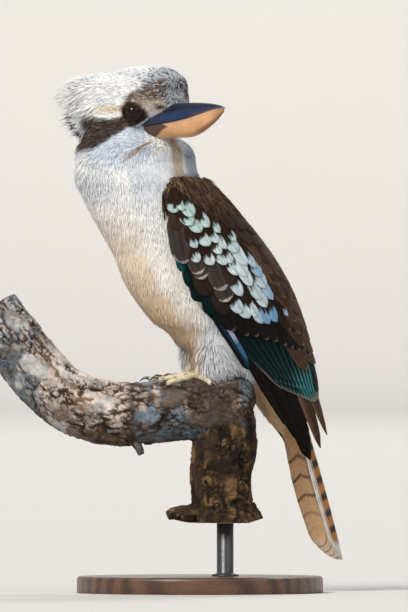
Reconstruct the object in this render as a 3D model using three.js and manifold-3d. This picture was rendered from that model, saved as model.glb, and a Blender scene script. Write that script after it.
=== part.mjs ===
// A still, life-size laughing kookaburra, perched on a cut length of branch that stands on a plain display stand.
// Millimetres, +Z up. Seen along +Y the bird's breast points left and its head looks back to the right.
import * as THREE from "three";
import { mergeVertices } from "three/addons/utils/BufferGeometryUtils.js";
import Module from "manifold-3d";

const wasm = await Module();
wasm.setup();

const RAD = Math.PI / 180;
const GAP = 0.35; // clearance between solids that touch

// The way the body and the head point, as angles in plan from +X.
const BODY_HEADING = 208 * RAD;
const HEAD_HEADING = -43 * RAD;
const BODY_ZERO = [2, 0]; // plan position of the middle of the body
const HEAD_ZERO = [-48, -26]; // plan position of the middle of the head

// Trunk sections: height, distance of the centre behind the body's zero, reach to the belly, to the back and to each side.
const TRUNK = [
  [112, 66, 3, 3, 4],
  [118, 63, 7, 8, 9],
  [127, 58, 9, 11, 12],
  [137, 52, 12, 15, 15],
  [147, 45, 17, 20, 20],
  [153, 40, 22, 26, 25],
  [159, 35.5, 28, 31.5, 29],
  [166, 31, 34, 37, 33],
  [177, 24, 40.5, 43.5, 37],
  [188, 18.5, 48, 48, 40],
  [198, 13, 55.5, 53, 42],
  [220, 1, 60.5, 58, 44],
  [245, -16, 55.5, 59.5, 44],
  [273, -36, 53, 53, 42],
  [295, -51, 49, 48, 38.5],
  [310, -55, 45.5, 46.5, 36],
  [325, -55, 45, 50, 35],
  [345, -55, 43, 46, 33],
];
// Head sections: height, shift forward of the head's zero, reach forward, back and to each side, and how square the
// section is in plan (2 is an ellipse, less is more pointed at the bill).
const SKULL = [
  [295, 0, 40, 45, 35, 2],
  [312, 0, 38, 47, 33, 2],
  [320, 0, 35, 48, 32, 1.8],
  [325, 0, 33, 48.5, 31, 1.45],
  [329, 0, 33, 49, 30.5, 1.35],
  [333, 0, 34.5, 49, 30.5, 1.32],
  [337, 0, 37.5, 49, 30.5, 1.48],
  [341, 0, 41, 49, 30.5, 1.75],
  [345, 0, 43.5, 48.5, 30.5, 2.1],
  [350, 0, 44.5, 48.5, 31, 2.5],
  [358, 0, 43.5, 47.5, 30, 2.6],
  [365, 1.5, 43.5, 43.5, 26.5, 2.4],
  [370.5, 6.5, 35, 34, 20.5, 2.2],
  [374.5, 12, 23, 20, 14.5, 2.1],
  [377.2, 14, 10, 9, 6, 2],
];
// Heights over which the body's sections turn into the head's, at the nape and under the bill.
const BLEND = { nape: [298, 346], throat: [311, 335] };
const CUT_NECK_LOW = 286;
const CUT_NECK_HIGH = 314;

// The folded wings' outer surface: height, centre behind the body's zero, reach forward, back and to the side.
const WING_SURFACE = [
  [92, 80, 22, 20, 20],
  [98, 79, 24, 20, 22],
  [116, 72, 29, 27, 27],
  [145, 55, 38, 38, 31],
  [160, 42, 44, 48, 36],
  [177, 27, 52, 56, 42],
  [198, 14, 61, 61.5, 48],
  [220, 1, 64, 64.5, 51],
  [245, -16, 61, 65, 50.5],
  [273, -36, 53, 60.5, 47.5],
  [300, -53, 46, 52, 41],
];
// Where the folded wing begins and ends: height, its lower edge and its upper edge, both behind the body's zero.
const WING_EDGES = [
  [160, 20.5, 80],
  [173, 8.5, 79],
  [188, -9, 76],
  [202, -22.5, 69],
  [216, -33.5, 61],
  [231, -44.5, 51],
  [245, -51.5, 40],
  [259, -56.5, 28],
  [273, -55, 15],
  [285, -55, 3],
  [297, -48, -12],
];

const EYE = { forward: 20.8, side: 20.6, height: 343.2, radius: 6.6 };
// The bill: distance forward, height of the mouth line, height of the ridge above it, depth below it and half width.
const BILL = [
  [12, 332, 14.4, 8.4, 14.6],
  [20, 332.7, 14.5, 9, 14.3],
  [30, 333.8, 14.4, 9.4, 13.6],
  [41, 335, 13.7, 10.2, 12.3],
  [52, 336.6, 12.6, 11.9, 10.7],
  [60, 338, 11.2, 12.3, 9.2],
  [68, 340.2, 8.8, 11.5, 7.4],
  [75, 342.4, 6.2, 10, 5.6],
  [82, 344.5, 3.2, 7.6, 3.7],
  [87, 345.2, 1.5, 4, 2],
  [90.3, 344.9, 0.5, 1.2, 0.8],
];
const LOWER_BILL_END = 88;
// The tail's ridge, as distance behind the body's zero and height, and its section: a roof with a rounded ridge.
const TAIL = { root: [66, 163], tip: [118, 25], droop: 7, perSide: 6, featherWidth: 13.5, ridge: 4 };
const PERCH_RADIUS = 23;
const BASE = { radius: 88, height: 12, bevel: 2 };
const ROD_RADIUS = 6;

// A smooth curve through the rows of a table, read at the height in the first column.
function through(rows) {
  const last = rows.length - 1;
  const slope = (i, c) => {
    const a = Math.max(0, i - 1);
    const b = Math.min(last, i + 1);
    return (rows[b][c] - rows[a][c]) / (rows[b][0] - rows[a][0]);
  };
  return (z) => {
    let i = 0;
    while (i < last - 1 && z > rows[i + 1][0]) i += 1;
    const width = rows[i + 1][0] - rows[i][0];
    const t = Math.min(1, Math.max(0, (z - rows[i][0]) / width));
    const t2 = t * t;
    const t3 = t2 * t;
    return rows[i].slice(1).map((value, k) => {
      const c = k + 1;
      return (
        (2 * t3 - 3 * t2 + 1) * value +
        (t3 - 2 * t2 + t) * width * slope(i, c) +
        (3 * t2 - 2 * t3) * rows[i + 1][c] +
        (t3 - t2) * width * slope(i + 1, c)
      );
    });
  };
}
const trunkAt = through(TRUNK);
const skullAt = through(SKULL);
const wingAt = through(WING_SURFACE);
const wingEdgesAt = through(WING_EDGES);

const mix = (a, b, t) => a + (b - a) * t;
const smooth = (t) => t * t * (3 - 2 * t);
const clamp01 = (t) => Math.min(1, Math.max(0, t));

// Seeded random numbers from 0 to 1.
function randomFrom(seed) {
  let state = seed;
  return () => {
    state = (state * 1664525 + 1013904223) % 4294967296;
    return state / 4294967296;
  };
}

// A point given as distance behind the body's zero, distance to the bird's left, and height.
function onBody(behind, left, z) {
  const c = Math.cos(BODY_HEADING);
  const s = Math.sin(BODY_HEADING);
  return new THREE.Vector3(BODY_ZERO[0] - behind * c - left * s, BODY_ZERO[1] - behind * s + left * c, z);
}

// A point given as distance forward of the head's zero, distance to the bird's right, and height.
function onHead(forward, right, z) {
  const c = Math.cos(HEAD_HEADING);
  const s = Math.sin(HEAD_HEADING);
  return new THREE.Vector3(HEAD_ZERO[0] + forward * c + right * s, HEAD_ZERO[1] + forward * s - right * c, z);
}

// Distance from the centre of an oval with four reaches, at an angle from its heading.
function ovalRadius(angle, front, back, side, square) {
  const c = Math.cos(angle);
  const s = Math.sin(angle);
  const along = Math.abs(c) / (c > 0 ? front : back);
  return (along ** square + (Math.abs(s) / side) ** square) ** (-1 / square);
}

// A point of the bird's outer surface at a height and an angle in plan, pushed outwards by grow.
function skinPoint(z, angle, grow = 0) {
  const ahead = 0.5 + 0.5 * Math.cos(angle - HEAD_HEADING);
  const from = mix(BLEND.nape[0], BLEND.throat[0], ahead);
  const to = mix(BLEND.nape[1], BLEND.throat[1], ahead);
  const blend = smooth(clamp01((z - from) / (to - from)));
  const point = new THREE.Vector3(0, 0, z);
  if (blend < 1) {
    const [behind, front, back, side] = trunkAt(z);
    const centre = onBody(behind, 0, z);
    const r = ovalRadius(angle - BODY_HEADING, front, back, side, 2) + grow;
    point.x += (1 - blend) * (centre.x + r * Math.cos(angle));
    point.y += (1 - blend) * (centre.y + r * Math.sin(angle));
  }
  if (blend > 0) {
    const [shift, front, back, side, square] = skullAt(z);
    const centre = onHead(shift, 0, z);
    const r = ovalRadius(angle - HEAD_HEADING, front, back, side, square) + grow;
    point.x += blend * (centre.x + r * Math.cos(angle));
    point.y += blend * (centre.y + r * Math.sin(angle));
  }
  return point;
}

// A closed surface as a geometry, from points and triangles.
function surface(points, triangles) {
  const geometry = new THREE.BufferGeometry().setFromPoints(points);
  geometry.setIndex(triangles.flat());
  return geometry;
}

// A closed solid from a geometry, with its faces turned outwards.
function solidFrom(geometry) {
  const bare = new THREE.BufferGeometry().setAttribute("position", geometry.getAttribute("position"));
  bare.setIndex(geometry.index);
  const merged = mergeVertices(bare, 1e-4);
  const corners = merged.index.array;
  const kept = [];
  for (let i = 0; i < corners.length; i += 3) {
    const [a, b, c] = [corners[i], corners[i + 1], corners[i + 2]];
    if (a !== b && b !== c && c !== a) kept.push([a, b, c]);
  }
  const build = (triangles) =>
    new wasm.Manifold(
      new wasm.Mesh({
        numProp: 3,
        vertProperties: new Float32Array(merged.attributes.position.array),
        triVerts: new Uint32Array(triangles.flat()),
      }),
    );
  const made = build(kept);
  return made.volume() < 0 ? build(kept.map(([a, b, c]) => [a, c, b])) : made;
}

// A solid through rings of points, each of the same length, closed by a point at each end.
function loft(rings, first, last) {
  const n = rings[0].length;
  const points = rings.flat().concat([first, last]);
  const triangles = [];
  for (let r = 0; r + 1 < rings.length; r += 1) {
    for (let i = 0; i < n; i += 1) {
      const j = (i + 1) % n;
      triangles.push([r * n + i, r * n + j, (r + 1) * n + j], [r * n + i, (r + 1) * n + j, (r + 1) * n + i]);
    }
  }
  const low = rings.length * n;
  const top = (rings.length - 1) * n;
  for (let i = 0; i < n; i += 1) {
    const j = (i + 1) % n;
    triangles.push([low, j, i], [low + 1, top + i, top + j]);
  }
  return solidFrom(surface(points, triangles));
}

// A thin plate between two grids of points that match, with the same triangles on both faces.
function plate(outer, inner) {
  const rows = outer.length;
  const columns = outer[0].length;
  const points = outer.flat().concat(inner.flat());
  const under = rows * columns;
  const at = (r, c) => r * columns + c;
  const triangles = [];
  for (let r = 0; r + 1 < rows; r += 1) {
    for (let c = 0; c + 1 < columns; c += 1) {
      for (const [a, b, d] of [
        [at(r, c), at(r, c + 1), at(r + 1, c + 1)],
        [at(r, c), at(r + 1, c + 1), at(r + 1, c)],
      ]) {
        triangles.push([a, b, d], [under + a, under + d, under + b]);
      }
    }
  }
  const rim = [];
  for (let c = 0; c + 1 < columns; c += 1) rim.push([at(0, c + 1), at(0, c)]);
  for (let r = 0; r + 1 < rows; r += 1) rim.push([at(r, 0), at(r + 1, 0)]);
  for (let c = 0; c + 1 < columns; c += 1) rim.push([at(rows - 1, c), at(rows - 1, c + 1)]);
  for (let r = 0; r + 1 < rows; r += 1) rim.push([at(r + 1, columns - 1), at(r, columns - 1)]);
  for (const [a, b] of rim) triangles.push([a, b, under + b], [a, under + b, under + a]);
  return solidFrom(surface(points, triangles));
}

const unionOf = (solids) => wasm.Manifold.union(solids);

// The largest closed surface of a solid.
function largest(solid) {
  return solid.decompose().reduce((a, b) => (b.volume() > a.volume() ? b : a));
}

// A tube of round sections along points, with a radius at each, pointed or rounded at its two ends.
function tube(path, radii, sides) {
  const curve = new THREE.CatmullRomCurve3(path, false, "centripetal");
  const frames = curve.computeFrenetFrames(path.length - 1, false);
  const rings = path.map((p, i) => {
    const ring = [];
    for (let k = 0; k < sides; k += 1) {
      const a = (2 * Math.PI * k) / sides;
      ring.push(
        p
          .clone()
          .addScaledVector(frames.normals[i], radii[i] * Math.cos(a))
          .addScaledVector(frames.binormals[i], radii[i] * Math.sin(a)),
      );
    }
    return ring;
  });
  const end = path.length - 1;
  const first = path[0].clone().addScaledVector(frames.tangents[0], -0.4 * radii[0]);
  const last = path[end].clone().addScaledVector(frames.tangents[end], 0.4 * radii[end]);
  return loft(rings, first, last);
}

// The whole outer surface of trunk, neck and head as one solid, pushed outwards by grow.
function wholeBody(grow = 0) {
  const columns = 32;
  const heights = [114, 120, 127, 134, 141, 148, 154, 160, 167, 175, 184, 194, 205, 217, 229, 241, 253, 264, 275, 286];
  heights.push(296, 305, 312, 318, 323, 328, 332, 336, 340, 345, 351, 358, 364, 368.5, 372, 375, 376.8);
  const rings = heights.map((z) => {
    const ring = [];
    for (let k = 0; k < columns; k += 1) ring.push(skinPoint(z, (2 * Math.PI * k) / columns, grow));
    return ring;
  });
  const low = onBody(trunkAt(heights[0])[0], 0, heights[0] - 2 - grow);
  const top = onHead(skullAt(376.8)[0], 0, 377.6 + grow);
  return loft(rings, low, top);
}

// A vane whose middle line and half width are functions of the share of its length. place(share, across) gives the
// point and outward direction of the vane's middle surface.
function vane({ place, halfWidth, thickness, along = 4, across = 2 }) {
  const outer = [];
  const inner = [];
  for (let i = 0; i <= along; i += 1) {
    const share = i / along;
    const upper = [];
    const lower = [];
    for (let j = 0; j <= across; j += 1) {
      const side = (2 * j) / across - 1;
      const { point, out } = place(share, side * halfWidth(share), side);
      upper.push(point.clone().addScaledVector(out, thickness / 2));
      lower.push(point.clone().addScaledVector(out, -thickness / 2));
    }
    outer.push(upper);
    inner.push(lower);
  }
  return plate(outer, inner);
}

// The wing surface as a graph over the bird's middle plane: distance to the side at a distance behind zero and a height.
function wingSide(behind, z) {
  const [centre, front, back, side] = wingAt(z);
  const d = behind - centre;
  const share = Math.min(0.985, Math.abs(d) / (d < 0 ? front : back));
  return side * Math.sqrt(1 - share * share);
}

// The trunk's half width at a distance behind zero and a height.
function trunkSide(behind, z) {
  const [centre, front, back, side] = trunkAt(z);
  const d = behind - centre;
  const share = Math.min(1, Math.abs(d) / (d < 0 ? front : back));
  return side * Math.sqrt(1 - share * share);
}

// The outward direction of the wing surface, as (behind, side, height).
function wingNormal(behind, z) {
  const step = 1;
  const dBehind = (wingSide(behind + step, z) - wingSide(behind - step, z)) / (2 * step);
  const dHeight = (wingSide(behind, z + step) - wingSide(behind, z - step)) / (2 * step);
  const length = Math.hypot(dBehind, 1, dHeight);
  return [-dBehind / length, 1 / length, -dHeight / length];
}

// A point on the wing surface of one side of the bird, raised by lift, with its outward direction.
function onWing(hand, behind, z, lift) {
  const n = wingNormal(behind, z);
  const out = onBody(n[0], hand * n[1], n[2]).sub(onBody(0, 0, 0));
  const point = onBody(behind, hand * wingSide(behind, z), z).addScaledVector(out, lift);
  return { point, out };
}

const TUCK = 11; // how far the right wing's tip lies further back than the left's

// Half width of a feather of blade shape: full from the root on, with a round end.
const blade = (width, roundness = 0.25) => (share) => {
  const toTip = clamp01((1 - share) / roundness);
  const root = 0.7 + 0.3 * clamp01(share / 0.3);
  return (width / 2) * root * Math.sqrt(Math.max(0.06, 1 - (1 - toTip) ** 2));
};

// One feather lying on the wing: root and tip as (behind, height), lift of the root and of the tip, and width.
function wingFeather(hand, feather) {
  const { root, tip, width, lift, thickness = 1.2, along = 4, across = 2, roundness = 0.25, bow = 0, tilt = 0.5 } = feather;
  const length = Math.hypot(tip[0] - root[0], tip[1] - root[1]);
  const direction = [(tip[0] - root[0]) / length, (tip[1] - root[1]) / length];
  const crosswise = [-direction[1], direction[0]];
  return vane({
    thickness,
    along,
    across,
    halfWidth: blade(width, roundness),
    place: (share, offset, side) => {
      const bend = bow * Math.sin(Math.PI * share);
      const z = root[1] + direction[1] * length * share + crosswise[1] * (offset + bend);
      let behind = root[0] + direction[0] * length * share + crosswise[0] * (offset + bend);
      if (hand < 0) behind += TUCK * smooth(clamp01((190 - z) / 50)) * clamp01((95 - behind) / 35);
      const raised = lift[0] + (lift[1] - lift[0]) * share - 0.3 * side * side - tilt * side;
      return onWing(hand, behind, z, raised);
    },
  });
}

// The wing's fleshy core: a slab under the coverts, between the body and the wing surface.
function wingCore(hand) {
  const rows = 7;
  const columns = 6;
  const outer = [];
  const inner = [];
  for (let i = 0; i <= rows; i += 1) {
    const z = 172 + (296 - 172) * (i / rows);
    const [low, high] = wingEdgesAt(z);
    const upper = [];
    const lower = [];
    for (let j = 0; j <= columns; j += 1) {
      const t = j / columns;
      const behind = low + 2 + (high - low - 4) * t;
      const edge = 1.4 * (2 * t - 1) ** 4;
      upper.push(onWing(hand, behind, z, -0.9 - edge).point);
      lower.push(onBody(behind, hand * Math.max(trunkSide(behind, z) + 1.6, wingSide(behind, z) - 10), z));
    }
    outer.push(upper);
    inner.push(lower);
  }
  return plate(outer, inner);
}


// The tiers of feathers of one folded wing, from the flight feathers up to the shoulder.
function wingFeathers() {
  const feathers = [];
  const edgePoint = (z, t) => {
    const [low, high] = wingEdgesAt(z);
    return [mix(low, high, t), z];
  };
  // primaries: long narrow blades along the lower edge, their tips stepping up and back
  const primaryTips = [
    [77, 95],
    [80, 99],
    [84, 103.5],
    [88, 108],
    [91.5, 113],
  ];
  primaryTips.forEach((tip, i) => {
    feathers.push({
      root: [13 + 5 * i, 188 + 2 * i],
      tip,
      width: 11,
      lift: [-2.4 + 0.35 * i, -1.7 + 0.35 * i],
      roundness: 0.14,
      along: 3,
      across: 1,
      thickness: 1,
      bow: 2,
    });
  });
  // secondaries: their tips step up the wing towards the back
  const secondaryTips = [
    [24, 162],
    [38, 154],
    [47, 148],
    [56, 143],
    [65, 138.5],
    [72, 136],
    [78, 139],
  ];
  secondaryTips.forEach((tip, i) => {
    feathers.push({
      root: [mix(-6, 44, i / 6), mix(204, 212, i / 6)],
      tip,
      width: 13.5,
      lift: [-1 + 0.15 * i, -0.2 + 0.15 * i],
      along: 3,
      across: 1,
      roundness: 0.22,
      thickness: 1,
    });
  });
  // tiers of coverts: height of the roots and of the tips at the lower and at the upper edge, how many, and lift
  const tiers = [
    { count: 6, roots: [211, 205], tips: [183, 166], from: 0.06, to: 0.95, width: 19, lift: [0.3, 1.3] },
    { count: 5, roots: [235, 225], tips: [206, 190], from: 0.08, to: 0.94, width: 21, lift: [0.9, 2.2] },
    { count: 5, roots: [258, 245], tips: [230, 213], from: 0.08, to: 0.93, width: 20, lift: [1.2, 2.8] },
    { count: 4, roots: [278, 263], tips: [252, 235], from: 0.1, to: 0.9, width: 21, lift: [1.2, 3] },
    { count: 3, roots: [294, 284], tips: [271, 255], from: 0.15, to: 0.85, width: 22, lift: [0.4, 2.4] },
  ];
  tiers.forEach((tier, row) => {
    for (let i = 0; i < tier.count; i += 1) {
      const t = mix(tier.from, tier.to, (i + 0.25 * (row % 2)) / (tier.count - 0.75));
      feathers.push({
        root: edgePoint(mix(tier.roots[0], tier.roots[1], t), t),
        tip: edgePoint(mix(tier.tips[0], tier.tips[1], t), mix(t, 0.5, 0.05)),
        width: tier.width,
        lift: [tier.lift[0] - 1.2, tier.lift[1]],
        along: 2,
        across: 1,
        roundness: 0.5,
      });
    }
  });
  return feathers;
}

function wing(hand, bodyRoom, tailRoom) {
  const pieces = wingFeathers().map((feather) => wingFeather(hand, feather));
  return largest(unionOf([wingCore(hand), ...pieces]).subtract(bodyRoom).subtract(tailRoom));
}

// The tail: flight feathers stacked with the middle pair on top, sliding out to the sides, joined by a short root.
const tailRun = [TAIL.tip[0] - TAIL.root[0], TAIL.tip[1] - TAIL.root[1]];
const tailLength = Math.hypot(...tailRun);
const tailDirection = tailRun.map((v) => v / tailLength);
const tailUp = [-tailDirection[1], tailDirection[0]]; // towards the back of the bird, as (behind, height)

// A point of the tail: distance from its root, distance to the left, and height over its roof-shaped surface.
function onTail(distance, left, up) {
  const share = distance / tailLength;
  const height = up - TAIL.droop * share ** 2 - Math.hypot(TAIL.ridge, left) + TAIL.ridge;
  return onBody(
    TAIL.root[0] + tailDirection[0] * distance + tailUp[0] * height,
    left,
    TAIL.root[1] + tailDirection[1] * distance + tailUp[1] * height,
  );
}

function tailFeather(hand, k) {
  const length = tailLength * (1 - 0.0035 * k * k);
  return vane({
    thickness: 1.15,
    along: 4,
    halfWidth: blade(TAIL.featherWidth * (1 - 0.04 * k), 0.13),
    place: (share, offset) => {
      const spread = mix(0.9, 2, Math.min(1, share * 1.8)) * (k + 0.3);
      const left = hand * spread + offset;
      const slope = left / Math.hypot(TAIL.ridge, left);
      const out = onBody(tailUp[0], slope, tailUp[1]).sub(onBody(0, 0, 0)).normalize();
      return { point: onTail(length * share, left, 1.8 - 0.7 * k), out };
    },
  });
}

function tail(bodyRoom) {
  const feathers = [];
  for (let k = 0; k < TAIL.perSide; k += 1) {
    feathers.push(tailFeather(1, k), tailFeather(-1, k));
  }
  const rings = [];
  const sides = 10;
  for (const [distance, half, depth] of [
    [3, 9, 6],
    [20, 11, 6.5],
    [38, 12, 5],
    [54, 10, 2.6],
  ]) {
    const ring = [];
    for (let k = 0; k < sides; k += 1) {
      const a = (2 * Math.PI * k) / sides;
      ring.push(onTail(distance, half * Math.cos(a), -1.5 - depth * 0.5 + depth * Math.sin(a)));
    }
    rings.push(ring);
  }
  const core = loft(rings, onTail(1, 0, -3), onTail(60, 0, -1.5));
  return largest(unionOf([core, ...feathers]).subtract(bodyRoom));
}

// Raised feathers of the crown and nape: flat, tapered locks that point back along the head.
function crestLock(angle, z, length, lean, width) {
  const rootPoint = skinPoint(z, angle, -1.8);
  const c = Math.cos(HEAD_HEADING);
  const s = Math.sin(HEAD_HEADING);
  const outward = new THREE.Vector3(Math.cos(angle), Math.sin(angle), z > 355 ? (z - 355) / 9 : -0.1).normalize();
  const backward = new THREE.Vector3(-c, -s, z > 352 ? -0.12 : -0.65).normalize();
  const lie = backward.clone().addScaledVector(outward, lean).normalize();
  const acrossWay = new THREE.Vector3().crossVectors(lie, outward).normalize();
  const out = new THREE.Vector3().crossVectors(acrossWay, lie).normalize();
  return vane({
    thickness: 1.4,
    along: 2,
    across: 1,
    halfWidth: (share) => (width / 2) * (1 - 0.86 * share ** 1.5),
    place: (share, offset) => ({
      point: rootPoint
        .clone()
        .addScaledVector(lie, length * share)
        .addScaledVector(out, -0.9 * share * share)
        .addScaledVector(acrossWay, offset),
      out,
    }),
  });
}

function crestLocks() {
  const random = randomFrom(7);
  const locks = [];
  const back = HEAD_HEADING + Math.PI;
  const rows = [
    { z: 370, count: 4, reach: 80, length: 11, lean: 0.2 },
    { z: 363.5, count: 5, reach: 78, length: 12, lean: 0.26 },
    { z: 355, count: 6, reach: 72, length: 12, lean: 0.3 },
    { z: 344, count: 5, reach: 62, length: 11, lean: 0.3 },
    { z: 333, count: 5, reach: 52, length: 10, lean: 0.24 },
  ];
  for (const row of rows) {
    for (let i = 0; i < row.count; i += 1) {
      const share = (2 * i) / (row.count - 1) - 1;
      const angle = back + share * row.reach * RAD + (random() - 0.5) * 0.06;
      const length = row.length * (0.85 + 0.3 * random());
      locks.push(crestLock(angle, row.z + 2 * (random() - 0.5), length, row.lean, 10));
    }
  }
  return locks;
}

// The lids: a ring standing a little out of the face round each eye.
function lid(hand) {
  const ring = new THREE.TorusGeometry(5.9, 1.5, 5, 14);
  const facing = onHead(0.4, hand * 0.92, 0).sub(onHead(0, 0, 0)).normalize();
  ring.applyQuaternion(new THREE.Quaternion().setFromUnitVectors(new THREE.Vector3(0, 0, 1), facing));
  const centre = onHead(EYE.forward, hand * EYE.side, EYE.height).addScaledVector(facing, 4.2);
  ring.translate(centre.x, centre.y, centre.z);
  return solidFrom(ring);
}

function eyeball(hand, grow = 0) {
  const ball = new THREE.SphereGeometry(EYE.radius + grow, 12, 8);
  const centre = onHead(EYE.forward, hand * EYE.side, EYE.height);
  ball.translate(centre.x, centre.y, centre.z);
  return solidFrom(ball);
}

// One half of the bill. upper is 1 above the mouth line and -1 below it.
const billAt = through(BILL);
function mandible(upper, grow = 0) {
  const arc = 8;
  const last = upper > 0 ? BILL.at(-1)[0] : LOWER_BILL_END;
  const stations = [12, 20, 30, 40, 49, 57, 65, 72, 78, 83.5, last];
  const rings = stations.map((forward) => {
    const [height, above, below, halfWidth] = billAt(forward);
    const depth = (upper > 0 ? above : below) + 2 * grow;
    const side = (halfWidth + grow) * (upper > 0 ? 1 : 0.95);
    const ring = [];
    for (let k = 0; k <= arc; k += 1) {
      const a = (Math.PI * k) / arc;
      const across = Math.sign(Math.cos(a)) * Math.abs(Math.cos(a)) ** 0.9 * side;
      ring.push(onHead(forward, across, height + upper * (Math.sin(a) ** (upper > 0 ? 1.05 : 0.85) * depth + GAP / 2 - grow)));
    }
    return ring;
  });
  const startHeight = billAt(stations[0])[0];
  const tipHeight = billAt(last)[0];
  const first = onHead(stations[0] - 1 - grow, 0, startHeight + upper * 4);
  const end = onHead(last + 0.8 + grow, 0, tipHeight + upper * 0.4);
  return loft(rings, first, end);
}

// A nostril: a short slanting slit sunk into each side of the upper mandible.
function nostril(hand) {
  const slit = new THREE.SphereGeometry(1, 8, 6);
  slit.scale(3, 1.5, 1);
  slit.rotateY(-12 * RAD);
  slit.rotateZ(HEAD_HEADING + hand * 10 * RAD);
  const centre = onHead(46.5, hand * 8.9, 344.2);
  slit.translate(centre.x, centre.y, centre.z);
  return solidFrom(slit);
}

// The branch: centre line points with a radius at each.
const BRANCH = [
  [-149, 30, 201, 21.5],
  [-134, 26, 180, 22],
  [-115.5, 20, 156, 22],
  [-93, 13, 137, 22.5],
  [-68, 6, 128.5, 23],
  [-43, 2, 128.5, 22.5],
  [-18, -1, 130.8, 22.3],
  [3, -2, 132.2, 23.5],
  [19, -2, 131.5, 24],
  [27, -1, 131, 23.2],
  [33, 0, 129.5, 17.5],
  [37, 0, 128, 9],
];
const STEM = [
  [19, -2, 138, 15],
  [19, -2, 122, 22],
  [17, -2, 105, 23.3],
  [14.4, -1, 84, 22],
  [16, 0, 63, 22.5],
  [21, 0, 46, 25],
];
const STUB = [
  [8, -3, 60, 9],
  [-6, -5, 57, 7],
  [-18, -6, 57, 5],
  [-23, -7, 55, 3.5],
];
const TWIG = [
  [-48, -3, 110, 4],
  [-44, -5, 104, 3.2],
  [-42, -6, 99, 2.6],
];
const STEM_FOOT = 50; // height of the stem's sawn end

// A length of branch with a lumpy section.
function limb(rows, grow, sides, steps, lump) {
  const curve = new THREE.CatmullRomCurve3(rows.map((r) => new THREE.Vector3(r[0], r[1], r[2])), false, "centripetal");
  const frames = curve.computeFrenetFrames(steps, false);
  const rings = [];
  for (let i = 0; i <= steps; i += 1) {
    const u = i / steps;
    const centre = curve.getPoint(u);
    const place = u * (rows.length - 1);
    const row = Math.min(rows.length - 2, Math.floor(place));
    const radius = mix(rows[row][3], rows[row + 1][3], place - row);
    const ring = [];
    for (let k = 0; k < sides; k += 1) {
      const a = (2 * Math.PI * k) / sides;
      const wave = 0.5 * Math.sin(3 * a + 0.7 * i) + 0.35 * Math.sin(5 * a - 0.9 * i + 1) + 0.3 * Math.sin(1.7 * i + 2 * a);
      const r = radius * (1 + lump * wave) + grow;
      ring.push(
        centre
          .clone()
          .addScaledVector(frames.normals[i], r * Math.cos(a))
          .addScaledVector(frames.binormals[i], r * Math.sin(a)),
      );
    }
    rings.push(ring);
  }
  const first = curve.getPoint(0).addScaledVector(frames.tangents[0], -grow);
  const last = curve.getPoint(1).addScaledVector(frames.tangents[steps], grow);
  return loft(rings, first, last);
}

function perch(grow = 0) {
  const parts = [limb(BRANCH, grow, 14, 20, 0.03), limb(STEM, grow, 14, 9, 0.03)];
  if (grow === 0) parts.push(limb(STUB, 0, 7, 3, 0.03), limb(TWIG, 0, 6, 2, 0));
  return largest(unionOf(parts).trimByPlane([0, 0, 1], STEM_FOOT));
}

// Height of the top of the branch above a place in plan, near the feet.
function branchTop(x, y) {
  const near = BRANCH.slice(4, 10);
  let i = 0;
  while (i < near.length - 2 && x > near[i + 1][0]) i += 1;
  const t = clamp01((x - near[i][0]) / (near[i + 1][0] - near[i][0]));
  const [, cy, cz, r] = near[i].map((v, c) => mix(v, near[i + 1][c], t));
  return cz + Math.sqrt(Math.max(0.1 * r * r, r * r - (y - cy) ** 2));
}

// Toes: turn in plan away from the foot's heading (degrees, towards the outer side), length and radius at the root.
const TOES = [
  { name: "inner", turn: -12, length: 18, radius: 2.7 },
  { name: "middle", turn: -1, length: 26, radius: 3.1 },
  { name: "outer", turn: 13, length: 21, radius: 2.8 },
  { name: "hind", turn: 148, length: 14, radius: 2.8 },
];
const FOOT_HEADING = 175 * RAD;
const FEET = { left: { hand: 1, at: [-3, -11] }, right: { hand: -1, at: [-10, 8] } };

function toeCurve(foot, toe, from, to, rise) {
  const heading = FOOT_HEADING + foot.hand * toe.turn * RAD;
  const points = [];
  const steps = 3;
  for (let i = 0; i <= steps; i += 1) {
    const d = toe.length * mix(from, to, i / steps);
    const x = foot.at[0] + d * Math.cos(heading);
    const y = foot.at[1] + d * Math.sin(heading);
    points.push(new THREE.Vector3(x, y, branchTop(x, y) + rise(i / steps)));
  }
  return points;
}

function footSolid(foot, grow = 0) {
  const toes = TOES.map((toe) => {
    const path = toeCurve(foot, toe, -0.1, 1, (s) => toe.radius * mix(1, 0.6, s));
    return tube(path, path.map((_, i) => toe.radius * (1 - 0.11 * i) + grow), 6);
  });
  const top = branchTop(...foot.at);
  const knee = onBody(4, foot.hand * 14, 176);
  const ankle = new THREE.Vector3(foot.at[0] + 1, foot.at[1], top + 3);
  const shin = [ankle, ankle.clone().lerp(knee, 0.45), knee];
  return unionOf([tube(shin, [4.2 + grow, 3.8 + grow, 4.2 + grow], 9), ...toes]);
}

function claw(foot, toe) {
  const length = 8 / toe.length;
  const rise = (s) => toe.radius * 0.8 + 1.3 * Math.sin(Math.PI * s) - 0.8 * s;
  const path = toeCurve(foot, toe, 0.98, 1 + length, rise);
  return tube(path, path.map((_, i) => mix(1.9, 0.4, i / 3)), 5);
}

// The feathered thigh, an egg shape that comes out below the belly.
function thigh(hand, grow = 0) {
  const egg = new THREE.SphereGeometry(1, 12, 9);
  egg.scale(17 + grow, 12 + grow, 18 + grow);
  egg.rotateY(-34 * RAD);
  egg.rotateZ(BODY_HEADING);
  const centre = onBody(hand > 0 ? 6 : 10, hand * 15.5, 172);
  egg.translate(centre.x, centre.y, centre.z);
  return solidFrom(egg);
}

const group = new THREE.Group();

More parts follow.
